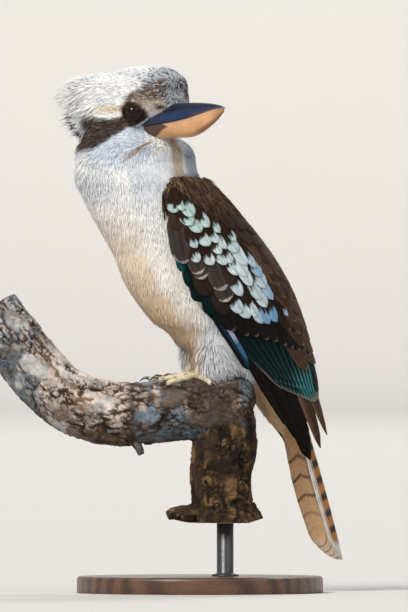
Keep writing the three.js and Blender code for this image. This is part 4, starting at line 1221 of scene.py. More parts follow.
def wing_rows(random):
    """Every feather of one wing as rows of root, tip, width, lifts, roundness and kind."""
    rows = []

    def add(root, tip, width, lift, kind, roundness=0.3, pale=0.0, blue=0.0, bow=0.0):
        if root[1] > 240:
            root = (max(root[0], wing_edges_at(root[1])[0] + 8), root[1])
        rows.append((*root, *tip, width, *lift, roundness, kind, pale, blue, bow))

    for *root_tip, width, lift, brown in PRIMARIES:
        kind, roundness = (BROWN_PRIMARY, 0.30) if brown else (PRIMARY, 0.11)
        add(root_tip[:2], root_tip[2:], width, (lift, lift + 0.9), kind, roundness, bow=2)
    for i in np.linspace(0, 10, 12):
        root = (mix(-16, 58, i / 10), mix(201, 214, (i / 10) ** 0.7))
        add(root, SECONDARY_TIPS(i), 11.5, (-1.6 + 0.12 * i, -0.9 + 0.12 * i), SECONDARY, 0.14, blue=i / 10)
    # lilac, blue and teal bases of the outer primaries, seen below the secondaries
    add((-11, 200), (18, 165.5), 3.0, (-0.8, -0.6), BAR, 0.3)
    add((-14, 197), (21, 159), 4.6, (-1.1, -0.9), BAR_SIDE, 0.15)
    # tiers of coverts, each with its tips from the lower to the upper edge of the wing
    pale = np.array([p[:2] for p in (*PALE_TIPS, *FRINGED_TIPS)])
    for row, (count, low_z, high_z, long, width, kind) in enumerate(COVERT_TIERS):
        for i in range(count):
            t = mix(0.05, 0.96, (i + 0.5 * (row % 2)) / (count - 0.5))
            z = mix(low_z, high_z, t) + random.uniform(-1, 1)
            low, high = wing_edges_at(max(z, 160))
            tip = np.array([mix(low + 7.5, high - 2, t), z])
            if kind > FIRST_COVERT and np.min(np.hypot(*(pale - tip).T)) < 7:
                continue
            root = tip + long * np.array([mix(-0.5, -0.62, t), mix(0.86, 0.78, t)])
            add(root, tip, width, (-0.9, 0.9 + 0.25 * (kind > 3)), kind, 0.42)
    for h, z, width, pale_part, blue in PALE_TIPS:
        long = 15 + 1.15 * pale_part
        root = (h - 0.56 * long, z + 0.83 * long)
        add(root, (h, z), 1.3 * width, (-0.8, 1.3), PALE_TIP, 0.33, 1.15 * pale_part / long, blue)
    for h, z, width, long in FRINGED_TIPS:
        add((h - 0.42 * long, z + 0.88 * long), (h, z), width, (-0.6, 1.25), FRINGED, 0.35)
    for h, z, width in EDGE_TIPS:
        add((h - 6.5, z + 27), (h + 3, z), width, (-0.9, 0.15), EDGE, 0.22)
    # scapulars: long brown feathers over the wing's upper edge
    for i in range(9):
        t = i / 8
        z = mix(240, 172, t)
        _, high = wing_edges_at(z)
        add((high - 22 - 3 * t, z + 20), (high - 1, z - 8), 13.5, (-0.3, 1.1), SCAPULAR, 0.35)
        add((high - 32 - 4 * t, z + 16), (high - 11, z - 12), 12.5, (-0.5, 0.9), SCAPULAR, 0.35)
    return np.array(rows, float)


def wing_tints(data, s, t, settings, random):
    """Colours of one wing's feathers by kind: primaries, secondaries, coverts, pale tips, fringes and scapulars."""
    kind = data[:, 8][:, None, None] + 0 * s
    pale = data[:, 9][:, None, None]
    blue = data[:, 10][:, None, None]
    black, umber, teal, buff = shades(settings, "black_brown", "umber", "teal", "buff")
    light, sky = shades(settings, "pale_blue", "sky_blue")
    own = random.random((len(data), 1, 1))
    streak = value_noise(stacked(t * 5, s * 1.5, 9 * own), 0.55, 8)
    mottle = streak[..., None]
    own = own[..., None]
    rgb = np.broadcast_to(black, (*s.shape, 3)) * (0.8 + 0.5 * own)
    edge = smooth((np.abs(t) - 0.86) / 0.14)
    tip = smooth((s - 0.955) / 0.03)
    # primaries: black, the inner ones brown
    rgb = paint(rgb, umber * (1.0 + 0.9 * mottle), (kind == BROWN_PRIMARY) * 0.95)
    rgb = paint(rgb, buff * 0.6, (kind == BROWN_PRIMARY) * edge * 0.35)
    # bases of the outer primaries: a lilac bar that runs into blue, and teal beside it
    bar = paint(np.array(LILAC), sky * 0.45, smooth((s - 0.52) / 0.10))
    rgb = np.where((kind == BAR)[..., None], bar * (0.8 + 0.3 * mottle), rgb)
    beside = paint(black, teal * (0.7, 0.6, 0.95) * (0.6 + 0.8 * mottle), smooth((t + 0.25) / 0.4))
    rgb = np.where((kind == BAR_SIDE)[..., None], beside, rgb)
    # secondaries: deep teal outer webs that brighten to cyan near thin pale ends
    second = kind == SECONDARY
    web = smooth((0.1 - t) / 0.5) * window(s, 0.2, 0.97, 0.2)
    rgb = paint(rgb, teal * (0.04 + 0.16 * mottle), second * web * 0.8)
    line = second * smooth((t + 0.95) / 0.06) * smooth((-0.60 - t) / 0.12)
    rgb = paint(rgb, teal * 0.8, line * window(s, 0.3, 0.97, 0.2) * mix(0.25, 0.65, blue))
    rgb = paint(rgb, np.array(CYAN), line * smooth((blue - 0.40) / 0.3) * window(s, 0.70, 0.965, 0.16) * 0.8)
    rim = smooth((-t - 0.90) / 0.06) * smooth((s - 0.5) / 0.3)
    rgb = paint(rgb, mix(buff, light, 0.6), second * np.maximum(tip, rim) * 0.42)
    # coverts: warmer and lighter towards the shoulder
    covert = (kind >= FIRST_COVERT) & (kind <= LAST_COVERT)
    warm = np.clip((kind - FIRST_COVERT) / 3, 0, 1)
    base = mix(black * 1.05, umber * 1.05, warm[..., None]) * (0.75 + 0.5 * own)
    rgb = np.where(covert[..., None], base, rgb)
    rgb = paint(rgb, umber * 2.2, covert * warm * (edge * 0.25 + tip * 0.2))
    hem = (data[:, 3] < 192)[:, None, None] * smooth((s - 0.965 + 0.03 * streak) / 0.02)
    rgb = paint(rgb, mix(buff, light, 0.4) * 0.6, covert * hem * 0.5)
    # pale tips
    spotted = kind == PALE_TIP
    green = paint(np.ones(3), np.array((0.86, 0.95, 0.88)), smooth((data[:, 3] - 236) / 18)[:, None, None])
    barb = value_noise(stacked(t * 9, s * 1.2, 9 * own[..., 0]), 0.6, 18)
    bright = mix(light, sky, blue[..., None]) * green * (0.66 + 0.5 * barb[..., None])
    start = 1 - pale + 0.30 * (barb - 0.5) + 0.04 * np.abs(t)
    rgb = np.where(spotted[..., None], umber * 0.55 * (0.8 + 0.4 * own), rgb)
    rgb = paint(rgb, bright, spotted * smooth((s - start) / 0.07 + 0.5))
    # fringed coverts: slate brown with a pale rim round the tip
    fringed = kind == FRINGED
    rgb = np.where(fringed[..., None], mix(umber, np.array(SLATE), 0.5) * (0.7 + 0.5 * mottle), rgb)
    reach = np.hypot(data[:, 2] - data[:, 0], data[:, 3] - data[:, 1])[:, None, None]
    sides = smooth((np.abs(t) - 0.80) / 0.1) * smooth((s - 0.80) / 0.08)
    band = np.maximum(smooth((s - 1 + 2.6 / reach) * reach / 1.2), sides)
    rgb = paint(rgb, mix(buff, light, 0.6) * (0.7 + 0.5 * mottle), fringed * band * 0.85)
    # teal edge and scapulars
    deep = mix(0.16, 0.9, smooth((data[:, 3] - 216) / 14))[:, None, None]
    shine = teal * (1.0, 0.9, 0.8) * (deep * (0.6 + 0.8 * streak))[..., None]
    rgb = paint(rgb, shine, (kind == EDGE) * smooth((0.5 - t) / 0.5) * 0.95)
    shoulder = kind == SCAPULAR
    rgb = np.where(shoulder[..., None], umber * (1.1 + 0.9 * own) * (0.8 + 0.4 * mottle), rgb)
    rgb = paint(rgb, buff * 0.55, shoulder * np.maximum(edge * 0.3, tip * 0.6) * smooth((s - 0.4) / 0.3))
    # the shaft
    return paint(rgb, rgb * 0.45, np.exp(-((t / 0.07) ** 2)) * 0.5)


class KOOKABURRA_OT_wings(bpy.types.Operator):
    """Adds the two folded wings, feather by feather"""

    bl_idname = "kookaburra.add_wings"
    bl_label = "Add wings"

    def execute(self, context):
        settings = context.scene.kookaburra_plumage
        finish = vane_finish("wing_feathers")
        for hand, side in SIDES:
            random = np.random.default_rng(31)
            data = wing_rows(random)
            points, out, s, t = self.lay(data, hand, random)
            vertices, faces = closed_vanes(points, out, settings.vane_thickness / MM)
            tints = wing_tints(data, s, t, settings, random)
            tints = np.repeat(tints[:, None], 2, 1)
            tints[:, 1] *= 0.7
            lengths = np.hypot(data[:, 2] - data[:, 0], data[:, 3] - data[:, 1])
            maps = vane_maps(len(data), s.shape[1], s.shape[2], lengths, data[:, 4])
            tints = tints.reshape(-1, 3)
            wing = (f"wing_{side}",)
            add_piece(f"wing_{side}_feathers", vertices, faces, finish, tints, maps, wing)
            points, faces = self.core(hand)
            tints = np.broadcast_to(np.array(settings.black_brown) * 0.8, points.shape)
            add_piece(f"wing_{side}_core", points, faces, plumage_finish(f"wing_down_{side}"), tints)
        return {"FINISHED"}

    def lay(self, data, hand, random):
        """Each feather from root to tip on the wing surface, raised from its root lift to its tip lift."""
        s, t = vane_grid(len(data), 14, 8)
        root, tip = data[:, None, None, 0:2], data[:, None, None, 2:4]
        run = tip - root
        reach = np.linalg.norm(run, axis=-1)
        way = run / reach[..., None]
        width, low, high, roundness = (data[:, k][:, None, None] for k in (4, 5, 6, 7))
        own = random.random((len(data), 1, 1)) * 40
        ragged = 0.05 * (value_noise(stacked(s * 9, np.sign(t), own), 0.5, 4) - 0.5)
        offset = 0.5 * width * t * blade_width(s, roundness, ragged)
        offset = offset + data[:, 11][:, None, None] * np.sin(np.pi * s)
        behind = root[..., 0] + way[..., 0] * reach * s - way[..., 1] * offset
        z = root[..., 1] + way[..., 1] * reach * s + way[..., 0] * offset
        if hand < 0:
            behind = behind + TUCK * smooth((190 - z) / 50) * np.clip((95 - behind) / 35, 0, 1)
        lift = low + (high - low) * s - 0.35 * t**2 - 0.45 * t
        points, out = on_wing(hand, behind, z, lift)
        return points, out, s, t

    def core(self, hand):
        """The flesh of the wing: a slab under the coverts that fills the room down to the body."""
        rows, across = 40, 24
        z = np.linspace(174, 292, rows)[:, None] * np.ones((1, across))
        low, high = columns(wing_edges_at(z))
        t = np.linspace(0, 1, across)[None]
        behind = low + 9 + (high - low - 14) * t
        outer = on_wing(hand, behind, z, -1.9 - 2.2 * (2 * t - 1) ** 4 * np.ones_like(z))[0]
        inner = on_body(behind, hand * np.maximum(wing_side(behind, z) - 9, 2), z)
        rings = np.concatenate([outer, inner[:, ::-1]], 1)
        points, faces = lofted(rings, rings[0].mean(0), rings[-1].mean(0))
        return points, facing_out(points, faces)


class KOOKABURRA_OT_tail(bpy.types.Operator):
    """Adds the tail's twelve feathers and the long coverts over and under their roots"""

    bl_idname = "kookaburra.add_tail"
    bl_label = "Add tail"

    def execute(self, context):
        settings = context.scene.kookaburra_plumage
        random = np.random.default_rng(41)
        rows = []
        for k in range(6):
            shape = (TAIL_LENGTH * (1 - 0.0035 * k * k), TAIL_WIDTH * (1 - 0.05 * k), 1.8 - 0.7 * k, 0)
            rows += [(k, 1, *shape), (k, -1, *shape)]
        coverts = []
        for i in range(26):
            for most_k, longest, up, kind in ((5.5, 62, 2.6, 1), (4.5, 66, -5.2, 2)):
                k, reach, width = (random.uniform(*span) for span in ((0, most_k), (34, longest), (8, 10)))
                coverts.append((k, 1 if i % 2 else -1, reach, width, up, kind))
        finish = vane_finish("tail_vanes")
        self.lay("tail_feathers", np.array(rows, float), 118, 10, finish, settings, random, ("tail",))
        self.lay("tail_coverts", np.array(coverts, float), 16, 6, finish, settings, random, ())
        return {"FINISHED"}

    def lay(self, name, data, along, across, finish, settings, random, replaces):
        """One piece of feathers or coverts, each from its root to its tip on the tail's roof-shaped section."""
        k, hand, reach, width, up, kind = (data[:, c][:, None, None] for c in range(6))
        s, t = vane_grid(len(data), along, across)
        spread = mix(0.9, 1.9, np.minimum(1, s * reach / TAIL_LENGTH * 1.8)) * (k + 0.3)
        spread = spread * np.where(kind > 0, 1.25, 1 - 0.16 * smooth((s - 0.72) / 0.28))
        ragged = 0.05 * (value_noise(stacked(s * 14, np.sign(t), k * 7 + hand), 0.5, 4) - 0.5)
        left = hand * spread + 0.5 * width * t * blade_width(s, np.where(kind > 0, 0.4, 0.10), ragged)
        slope = (left / np.hypot(TAIL_RIDGE, left))[..., None]
        out = unit(TAIL_UP[0] * BEHIND + TAIL_UP[1] * UP + slope * LEFT)
        raised = up + np.where(kind == 1, 2.0 * (1 - s) - 0.8 * s, 0)
        raised = raised + np.where(kind == 2, -1.5 * (1 - s) + 3.2 * s, 0)
        points = on_tail(reach * s, left, raised - 0.25 * t**2)
        vertices, faces = closed_vanes(points, np.broadcast_to(out, points.shape), settings.vane_thickness / MM)
        top = self.upper_tints(s, t, data, reach, settings, random)
        under = self.under_tints(s, t, data, reach, settings, random)
        tints = np.stack([top, under], 1).reshape(-1, 3)
        maps = vane_maps(len(data), s.shape[1], s.shape[2], data[:, 2], data[:, 3])
        add_piece(name, vertices, faces, finish, tints, maps, replaces)

    def upper_tints(self, s, t, data, reach, settings, random):
        """Rufous with teal-black bars every BAR_STEP, and white outer edges and tips."""
        k, hand, kind = (data[:, c][:, None, None] for c in (0, 1, 5))
        rufous, black, white, teal, umber = shades(settings, "rufous", "black_brown", "white", "teal", "umber")
        along = reach * s + 1.5 * np.abs(t)
        bar = smooth((np.cos(2 * np.pi * (along - BAR_START) / BAR_STEP) - 0.1) / 0.35)
        outward = t * hand
        pale = smooth((outward - 0.05) / 0.14) * smooth((k - 2.5) / 1.5) * (kind == 0)
        rgb = paint(rufous * 1.4, white, pale * 0.95)
        bar = bar * (kind == 0) * (1 - smooth((outward - 0.62) / 0.12) * (k > 2.5))
        rgb = paint(rgb, mix(black, teal, 0.35), bar * 0.95)
        rgb = paint(rgb, white, smooth((along - reach + 15) / 5) * (kind == 0) * 0.92)
        covert = mix(umber * 1.3, rufous, 0.35) * (0.8 + 0.5 * random.random((len(data), 1, 1, 1)))
        return np.where((kind > 0)[..., None], covert, rgb)

    def under_tints(self, s, t, data, reach, settings, random):
        """Buff, with thin dark bars that fade towards the tip, and a pale end."""
        kind = data[:, 5][:, None, None]
        buff, umber, white = shades(settings, "buff", "umber", "white")
        own = data[:, 0][:, None, None] * 3 + data[:, 1][:, None, None]
        wave = 2.4 * (value_noise(stacked(s * 12, t * 2, own), 1.0, 14) - 0.5)
        along = reach * s - 3.4 * np.abs(t) + wave
        bar = np.zeros(s.shape)
        for place, depth in UNDER_BARS:
            bar = np.maximum(bar, depth * smooth((1.5 - np.abs(along - place)) / 0.8))
        rgb = buff * (1.16, 1.14, 1.26) * (0.95 + 0.15 * random.random((len(data), 1, 1, 1))) * np.ones((*s.shape, 1))
        # coverts lighter than the feathers: partly their own paler colour, partly painted light against the wing's
        # shade
        rgb = rgb * np.where(kind > 0, 1.25, 1.0)[..., None]
        rgb = paint(rgb, umber * 1.3, bar * (kind == 0) * 0.9)
        return paint(rgb, white * 0.85, smooth((along - reach + 9) / 6) * (kind == 0) * 0.4)


# ---- bill and eyes


def nostril(forward, z, long, high):
    """1 in the middle of the slanted nostril, fading with exp(-d^2) over its half length and half height."""
    along = forward - NOSTRIL[0] + 0.25 * (z - NOSTRIL[1])
    return np.exp(-((along / long) ** 2) - ((z - NOSTRIL[1]) / high) ** 2)


def half_bill(upper):
    """One half of the bill: across = |cos a|^0.9 half width, rise = sin(a)^n depth, for a from one edge to the other.

    Returns the closed surface with its distances forward and shares from the mouth line (0) to the ridge (1).
    """
    last = BILL[-1][0] if upper > 0 else LOWER_BILL_END
    forward = mix(BILL_ROOT, last, np.linspace(0, 1, 110) ** 0.9)[:, None]
    a = np.pi * np.linspace(0, 1, 41)[None]
    height, above, below, half = (c[:, None] for c in columns(bill_at(forward[:, 0])))
    below = below + 1.5 * window(forward, 12, 32, 14)
    across = np.sign(np.cos(a)) * np.abs(np.cos(a)) ** 0.9 * half * (1 if upper > 0 else 0.95)
    ridge = np.maximum(np.sin(a), 0) ** (1.05 if upper > 0 else 0.85)
    rise = ridge * (above if upper > 0 else below)
    lip = 0.25 * np.exp(-(((ridge - 0.12) / 0.06) ** 2)) * smooth((forward - 40) / 10)
    across = across * (1 + lip * 0.12)
    if upper > 0:
        across = across * (1 - 0.16 * nostril(forward, height + rise, 3.0, 1.15))
    z = height + upper * (rise + 0.18)
    rings = on_head(forward + 0 * a, across, z)
    start = on_head(BILL_ROOT - 0.5, 0, bill_at(BILL_ROOT)[0] + upper * 4)
    end = on_head(last + 0.6, 0, bill_at(last)[0] + upper * 0.4)
    points, faces = lofted(rings, start, end)
    share = np.append((ridge * np.ones_like(forward)).ravel(), [0.5, 0.0])
    distance = np.append((forward + 0 * a).ravel(), [BILL_ROOT, last])
    return points, facing_out(points, faces), distance, share


class KOOKABURRA_OT_bill(bpy.types.Operator):
    """Adds the two halves of the bill"""

    bl_idname = "kookaburra.add_bill"
    bl_label = "Add bill"

    def execute(self, context):
        settings = context.scene.kookaburra_horn
        dark, peach, stain = shades(settings, "upper_bill", "lower_bill", "bill_stain")
        warm = np.array((0.22, 0.10, 0.045))
        points, faces, forward, share = half_bill(1)
        tint = paint(dark * (1.0, 1.5, 2.0), dark * 0.75, smooth((share - 0.25) / 0.5))
        tint = tint * (0.8 + 0.4 * value_noise(points, 6, 2)[:, None])
        tint = paint(tint, warm, smooth((forward - 56) / 24) * smooth((0.16 - share) / 0.12) * 0.8)
        tint = paint(tint, np.array((0.002, 0.002, 0.003)), nostril(forward, points[:, 2], 2.6, 0.9))
        tint = paint(tint, np.array((0.035, 0.033, 0.038)), smooth((44 - forward) / 8) * 0.5)
        horn = self.horn("upper_horn", 0.34, 0.06)
        add_piece("bill_upper_horn", points, faces, horn, tint, replaces=("bill_upper",))
        points, faces, forward, share = half_bill(-1)
        cloud = value_noise(points, 5, 4)
        tint = peach * (0.88 + 0.2 * cloud[:, None])
        tint = paint(tint, warm * 1.3, smooth((share - 0.72) / 0.25) * smooth((forward - 58) / 14) * 0.8)
        tint = paint(tint, warm, smooth((forward - 78) / 8) * 0.55)
        tint = paint(tint, np.array((0.42, 0.27, 0.2)), smooth((0.22 - share) / 0.1) * 0.5)
        # the dark patch runs to a point in front of the gape
        point = 44.5 - 24 * np.abs(share - 0.28) + 3 * (cloud - 0.5)
        patch = window(forward, 5, point, 1.6) * smooth((0.86 - share) / 0.12)
        tint = paint(tint, stain * (0.7 + 0.6 * cloud[:, None]), patch * 0.95)
        tint = paint(tint, stain, smooth((0.10 - share) / 0.06) * smooth((66 - forward) / 20) * 0.8)
        horn = self.horn("lower_horn", 0.40, 0.05)
        add_piece("bill_lower_horn", points, faces, horn, tint, replaces=("bill_lower",))
        return {"FINISHED"}

    def horn(self, name, rough, coat):
        """Smooth horn: the tint with long fine streaks, scratches and a thin gloss."""
        look = Finish(name, Coat_Weight=coat, Coat_Roughness=0.18, Specular_IOR_Level=0.22)
        inputs = {"Vector": look.place, "Rotation": (0, 0, -HEAD_HEADING), "Scale": (0.18, 1, 1)}
        streaks = look.noise(900, 4, 0.6, look.add("ShaderNodeMapping", inputs).outputs["Vector"])
        look.shaded(look.tint(), look.ramp(streaks, (0.25, 0.76), (0.75, 1.0)))
        look.set("Roughness", look.ramp(look.noise(320, 3), (0.3, rough - 0.08), (0.7, rough + 0.14)))
        look.bump(streaks, 0.18, 0.0003)
        return look.material


class KOOKABURRA_OT_eyes(bpy.types.Operator):
    """Adds the eyeballs with iris and pupil, and the bare rims of the lids"""

    bl_idname = "kookaburra.add_eyes"
    bl_label = "Add eyes"

    def execute(self, context):
        settings = context.scene.kookaburra_horn
        eye = Finish("wet_eye", Roughness=0.2, Coat_Weight=0.35, Coat_Roughness=0.02, Specular_IOR_Level=0.1)
        eye.shaded(eye.tint(), eye.ramp(eye.noise(1500, 3), (0.3, 0.6), (0.7, 1.0)))
        rim = Finish("lid_skin", Roughness=0.8, Specular_IOR_Level=0.08)
        rim.shaded(rim.ramp(rim.noise(1200, 3), (0.35, (0.008, 0.005, 0.004)), (0.7, (0.026, 0.016, 0.012))))
        rim.bump(rim.noise(1800, 2), 0.5, 0.0003)
        for hand, side in ((1, "right"), (-1, "left")):
            out = unit(0.4 * FORWARD + 0.92 * hand * RIGHT)
            over = unit(UP - (UP @ out) * out)
            across = np.cross(over, out)
            centre = on_head(EYE["forward"], hand * EYE["side"], EYE["height"])
            self.ball(side, centre, out, over, across, eye.material, settings)
            self.lid(side, centre, out, over, across, rim.material)
        return {"FINISHED"}

    def ball(self, side, centre, out, over, across, finish, settings):
        """A sphere with a slightly raised cornea; iris and pupil are rings about the way that it looks."""
        lat = np.linspace(0.03, np.pi - 0.03, 60)[:, None]
        turn = turns(56)[None]
        bulge = 1 + 0.06 * np.exp(-((lat / 0.55) ** 2))
        r = EYE["radius"] * bulge
        ring = np.cos(turn)[..., None] * over + np.sin(turn)[..., None] * across
        rings = centre + (r * np.cos(lat))[..., None] * out + (r * np.sin(lat))[..., None] * ring
        points, faces = lofted(rings, centre + out * r[0, 0], centre - out * r[-1, 0])
        angle = np.append((lat + 0 * turn).ravel(), [0, np.pi])
        (iris,) = shades(settings, "iris")
        tint = paint(np.array((0.0015, 0.0012, 0.0012)), iris, smooth((angle - 0.34) / 0.08))
        tint = paint(tint, iris * 0.2, smooth((angle - 0.72) / 0.1))
        faces = facing_out(points, faces)
        add_piece(f"eyeball_{side}", points, faces, finish, tint, replaces=(f"eye_{side}",))

    def lid(self, side, centre, out, over, across, finish):
        """Folds of skin round the eye, drawn out to a corner at either end, thicker below, finely beaded at the rim."""
        steps, sides = 96, 18
        turn = turns(steps)
        corner = 1 + 0.16 * np.abs(np.sin(turn)) ** 6
        ring = np.cos(turn)[:, None] * over * 5.75 + (np.sin(turn) * corner)[:, None] * across * 5.9
        middle = centre + out * (4.3 - 1.2 * (corner - 1) / 0.16)[:, None] + ring
        lat = turns(sides)[None]
        r = (1.15 + 0.35 * smooth(-np.cos(turn)) + 0.07 * np.sin(30 * turn))[:, None] * (1 + 0.12 * np.sin(3 * lat))
        way = unit(ring)
        wide, deep = (r * np.cos(lat))[..., None], (0.85 * r * np.sin(lat))[..., None]
        rings = middle[:, None] + wide * way[:, None] + deep * out
        points = rings.reshape(-1, 3)
        last = grid_faces(2, sides)
        last = last % sides + np.where(last < sides, (steps - 1) * sides, 0)
        faces = facing_out(points, [np.concatenate([grid_faces(steps, sides), last])])
        add_piece(f"lid_{side}", points, faces, finish)


# ---- feet

branch_near = np.array(BRANCH[4:10], float)


def branch_top(x, y):
    """Height of the top of the branch over a place in plan."""
    cy, cz, r = (np.interp(x, branch_near[:, 0], branch_near[:, c]) for c in (1, 2, 3))
    return cz + np.sqrt(np.maximum(0.1 * r * r, r * r - (y - cy) ** 2))


class KOOKABURRA_OT_feet(bpy.types.Operator):
    """Adds shins and toes with their scutes, and the claws"""

    bl_idname = "kookaburra.add_feet"
    bl_label = "Add feet"

    def execute(self, context):
        settings = context.scene.kookaburra_horn
        finish = self.scaly()
        horn = Finish("claw_horn", Roughness=0.32, Coat_Weight=0.3, Coat_Roughness=0.2)
        pale = tuple(c * 3 for c in settings.claw)
        horn.shaded(horn.ramp(horn.noise(700, 3), (0.3, tuple(settings.claw)), (0.8, pale)))
        for side, (hand, at) in FEET.items():
            parts = []
            for name, (turn, reach, radius) in TOES.items():
                parts.append((*self.toe(hand, at, turn, reach, radius), (1, 1, 1)))
                points, faces = self.claw(hand, at, turn, reach, radius)
                claw = f"claw_{side}_{name}"
                add_piece(f"{claw}_horn", points, faces, horn.material, replaces=(claw,))
            parts.append((*self.shin(hand, at), (1, 1, 1)))
            points, faces, _ = joined(parts)
            rgb = np.array(settings.foot) * (0.75 + 0.4 * value_noise(points, 4, 9)[:, None])
            spots = smooth((value_noise(points, 2.2, 12) - 0.55) / 0.2)
            rgb = paint(rgb, np.array((0.16, 0.10, 0.06)), 0.55 * spots)
            add_piece(f"foot_{side}_skin", points, faces, finish, rgb, replaces=(f"foot_{side}",))
        return {"FINISHED"}

    def path(self, hand, at, turn, reach, steps):
        """Points from the ankle out along a toe, on the top of the branch, with the share of the length at each."""
        heading = np.radians(FOOT_HEADING + hand * turn)
        x = at[0] + reach * steps * np.cos(heading)
        y = at[1] + reach * steps * np.sin(heading)
        return x, y, branch_top(x, y)

    def toe(self, hand, at, turn, reach, radius):
        """A toe with three pads and rows of scutes: the radius swells at the pads and steps at each scute."""
        share = np.linspace(-0.1, 1, 64)
        x, y, top = self.path(hand, at, turn, reach, share)
        joints = 3 if reach > 16 else 2
        pads = 1 + 0.10 * np.cos(2 * np.pi * joints * share)
        radii = radius * (1 - 0.30 * share) * pads
        scutes = reach / 1.7

        def swell(u, angle):
            upper = smooth(np.cos(angle) * 1.2)
            return 1 + 0.07 * upper * (1 - ((u * scutes) % 1)) - 0.05 * (1 - upper)

        path = np.stack([x, y, top + radius * mix(1, 0.62, np.clip(share, 0, 1)) - 0.15], -1)
        return tube(path, radii, 20, UP, swell)

    def claw(self, hand, at, turn, reach, radius):
        """A claw: a tapering hook that arches over from the toe's end down to the bark."""
        size = 8.5 / reach
        share = np.linspace(0, 1, 26)
        x, y, top = self.path(hand, at, turn, reach, 0.96 + size * share)
        rise = radius * 0.8 + 1.7 * np.sin(np.pi * share) - 1.0 * share**2
        return tube(np.stack([x, y, top + rise], -1), mix(1.75, 0.22, share**0.8), 14, UP)

    def shin(self, hand, at):
        """The bare shank, from the ankle up into the feathers of the thigh."""
        top = branch_top(*at)
        ankle = np.array([at[0] + 1, at[1], top + 2])
        knee = on_body(4, hand * 14, 176)
        share = np.linspace(0, 1, 30)[:, None]
        radii = 3.9 + 0.5 * (2 * share[:, 0] - 1) ** 2

        def swell(u, angle):
            return 1 + 0.05 * (1 - ((u * 11) % 1)) * smooth(np.cos(angle))

        return tube(mix(ankle, knee, share), radii, 22, BEHIND, swell)

    def scaly(self):
        """Dry scaled skin: small cells in colour and relief."""
        look = Finish("scaled_skin", Roughness=0.52, Specular_IOR_Level=0.4)
        look.let_light_in(0.08, (0.002, 0.001, 0.0006))
        cells = look.add("ShaderNodeTexVoronoi", {"Vector": look.place, "Scale": 900.0}, feature="DISTANCE_TO_EDGE")
        edge = look.ramp(cells.outputs["Distance"], (0.0, 0.45), (0.18, 1.0))
        look.shaded(look.tint(), edge)
        look.bump(edge, 0.5, 0.0004)
        return look.material


# ---- branch and stand


FAR = 9.0  # farther than any seed of the cells around, in cell sizes
SCATTER_WAYS = ((12.99, 78.2, 37.7), (39.3, 11.1, 83.2), (73.2, 52.2, 9.1))
SAWN, SAWN_RIM, SAWN_HEART = (0.42, 0.27, 0.15), (0.50, 0.36, 0.24), (0.30, 0.20, 0.13)
# Branch, stem, stub and twig: rows, and steps along and round each.
LIMBS = ((BRANCH, 250, 132), (STEM, 120, 124), (STUB, 60, 50), (TWIG, 30, 26))


def plates(points, cell, seed):
    """Cells about one scattered seed per cube of a grid: the nearest seed's own number, and the gap to the second one.

    The gap is the second smallest distance to a seed less the smallest, in cell sizes; it is 0 on the cracks.
    """
    q = points / cell
    whole = np.floor(q)
    near, second, own = (np.full(q.shape[:-1], start) for start in (FAR, FAR, 0.0))
    for step in np.ndindex(3, 3, 3):
        cube = whole + np.array(step) - 1
        key = [np.sin(cube @ np.array(way) + seed) * 43758.5453 % 1 for way in SCATTER_WAYS]
        away = np.linalg.norm(q - cube - np.stack(key, -1), axis=-1)
        nearer = away < near
        second = np.where(nearer, near, np.minimum(second, away))
        own = np.where(nearer, (7 * key[0] + key[1]) % 1, own)
        near = np.where(nearer, away, near)
    return own, second - near


def bark_height(points):
    """Relief of the bark from 0 in the cracks to 1 on the plates, and how deep the cracks are there.

    Large and small plates, each at a height of its own and pushed out of true by noise, are parted by cracks whose
    width varies from place to place.
    """
    push = [value_noise(points, 4.5, 60 + k) + 0.5 * value_noise(points, 2, 70 + k) - 0.75 for k in range(3)]
    moved = points + 4.5 * np.stack(push, -1)
    large, wide = plates(moved, 11.0, 1.7)
    small, narrow = plates(moved + 50, 4.6, 5.3)
    open_crack = smooth((value_noise(points, 10, 26) - 0.25) / 0.35)
    fine_crack = 0.55 * smooth((0.13 - narrow) / 0.10) * open_crack
    crack = np.maximum(smooth((0.10 - wide) / 0.08) * open_crack, fine_crack)
    level = 0.15 + 0.45 * large + 0.30 * small + 0.20 * value_noise(points, 1.9, 23)
    return np.clip(level, 0, 1) * (1 - crack), crack


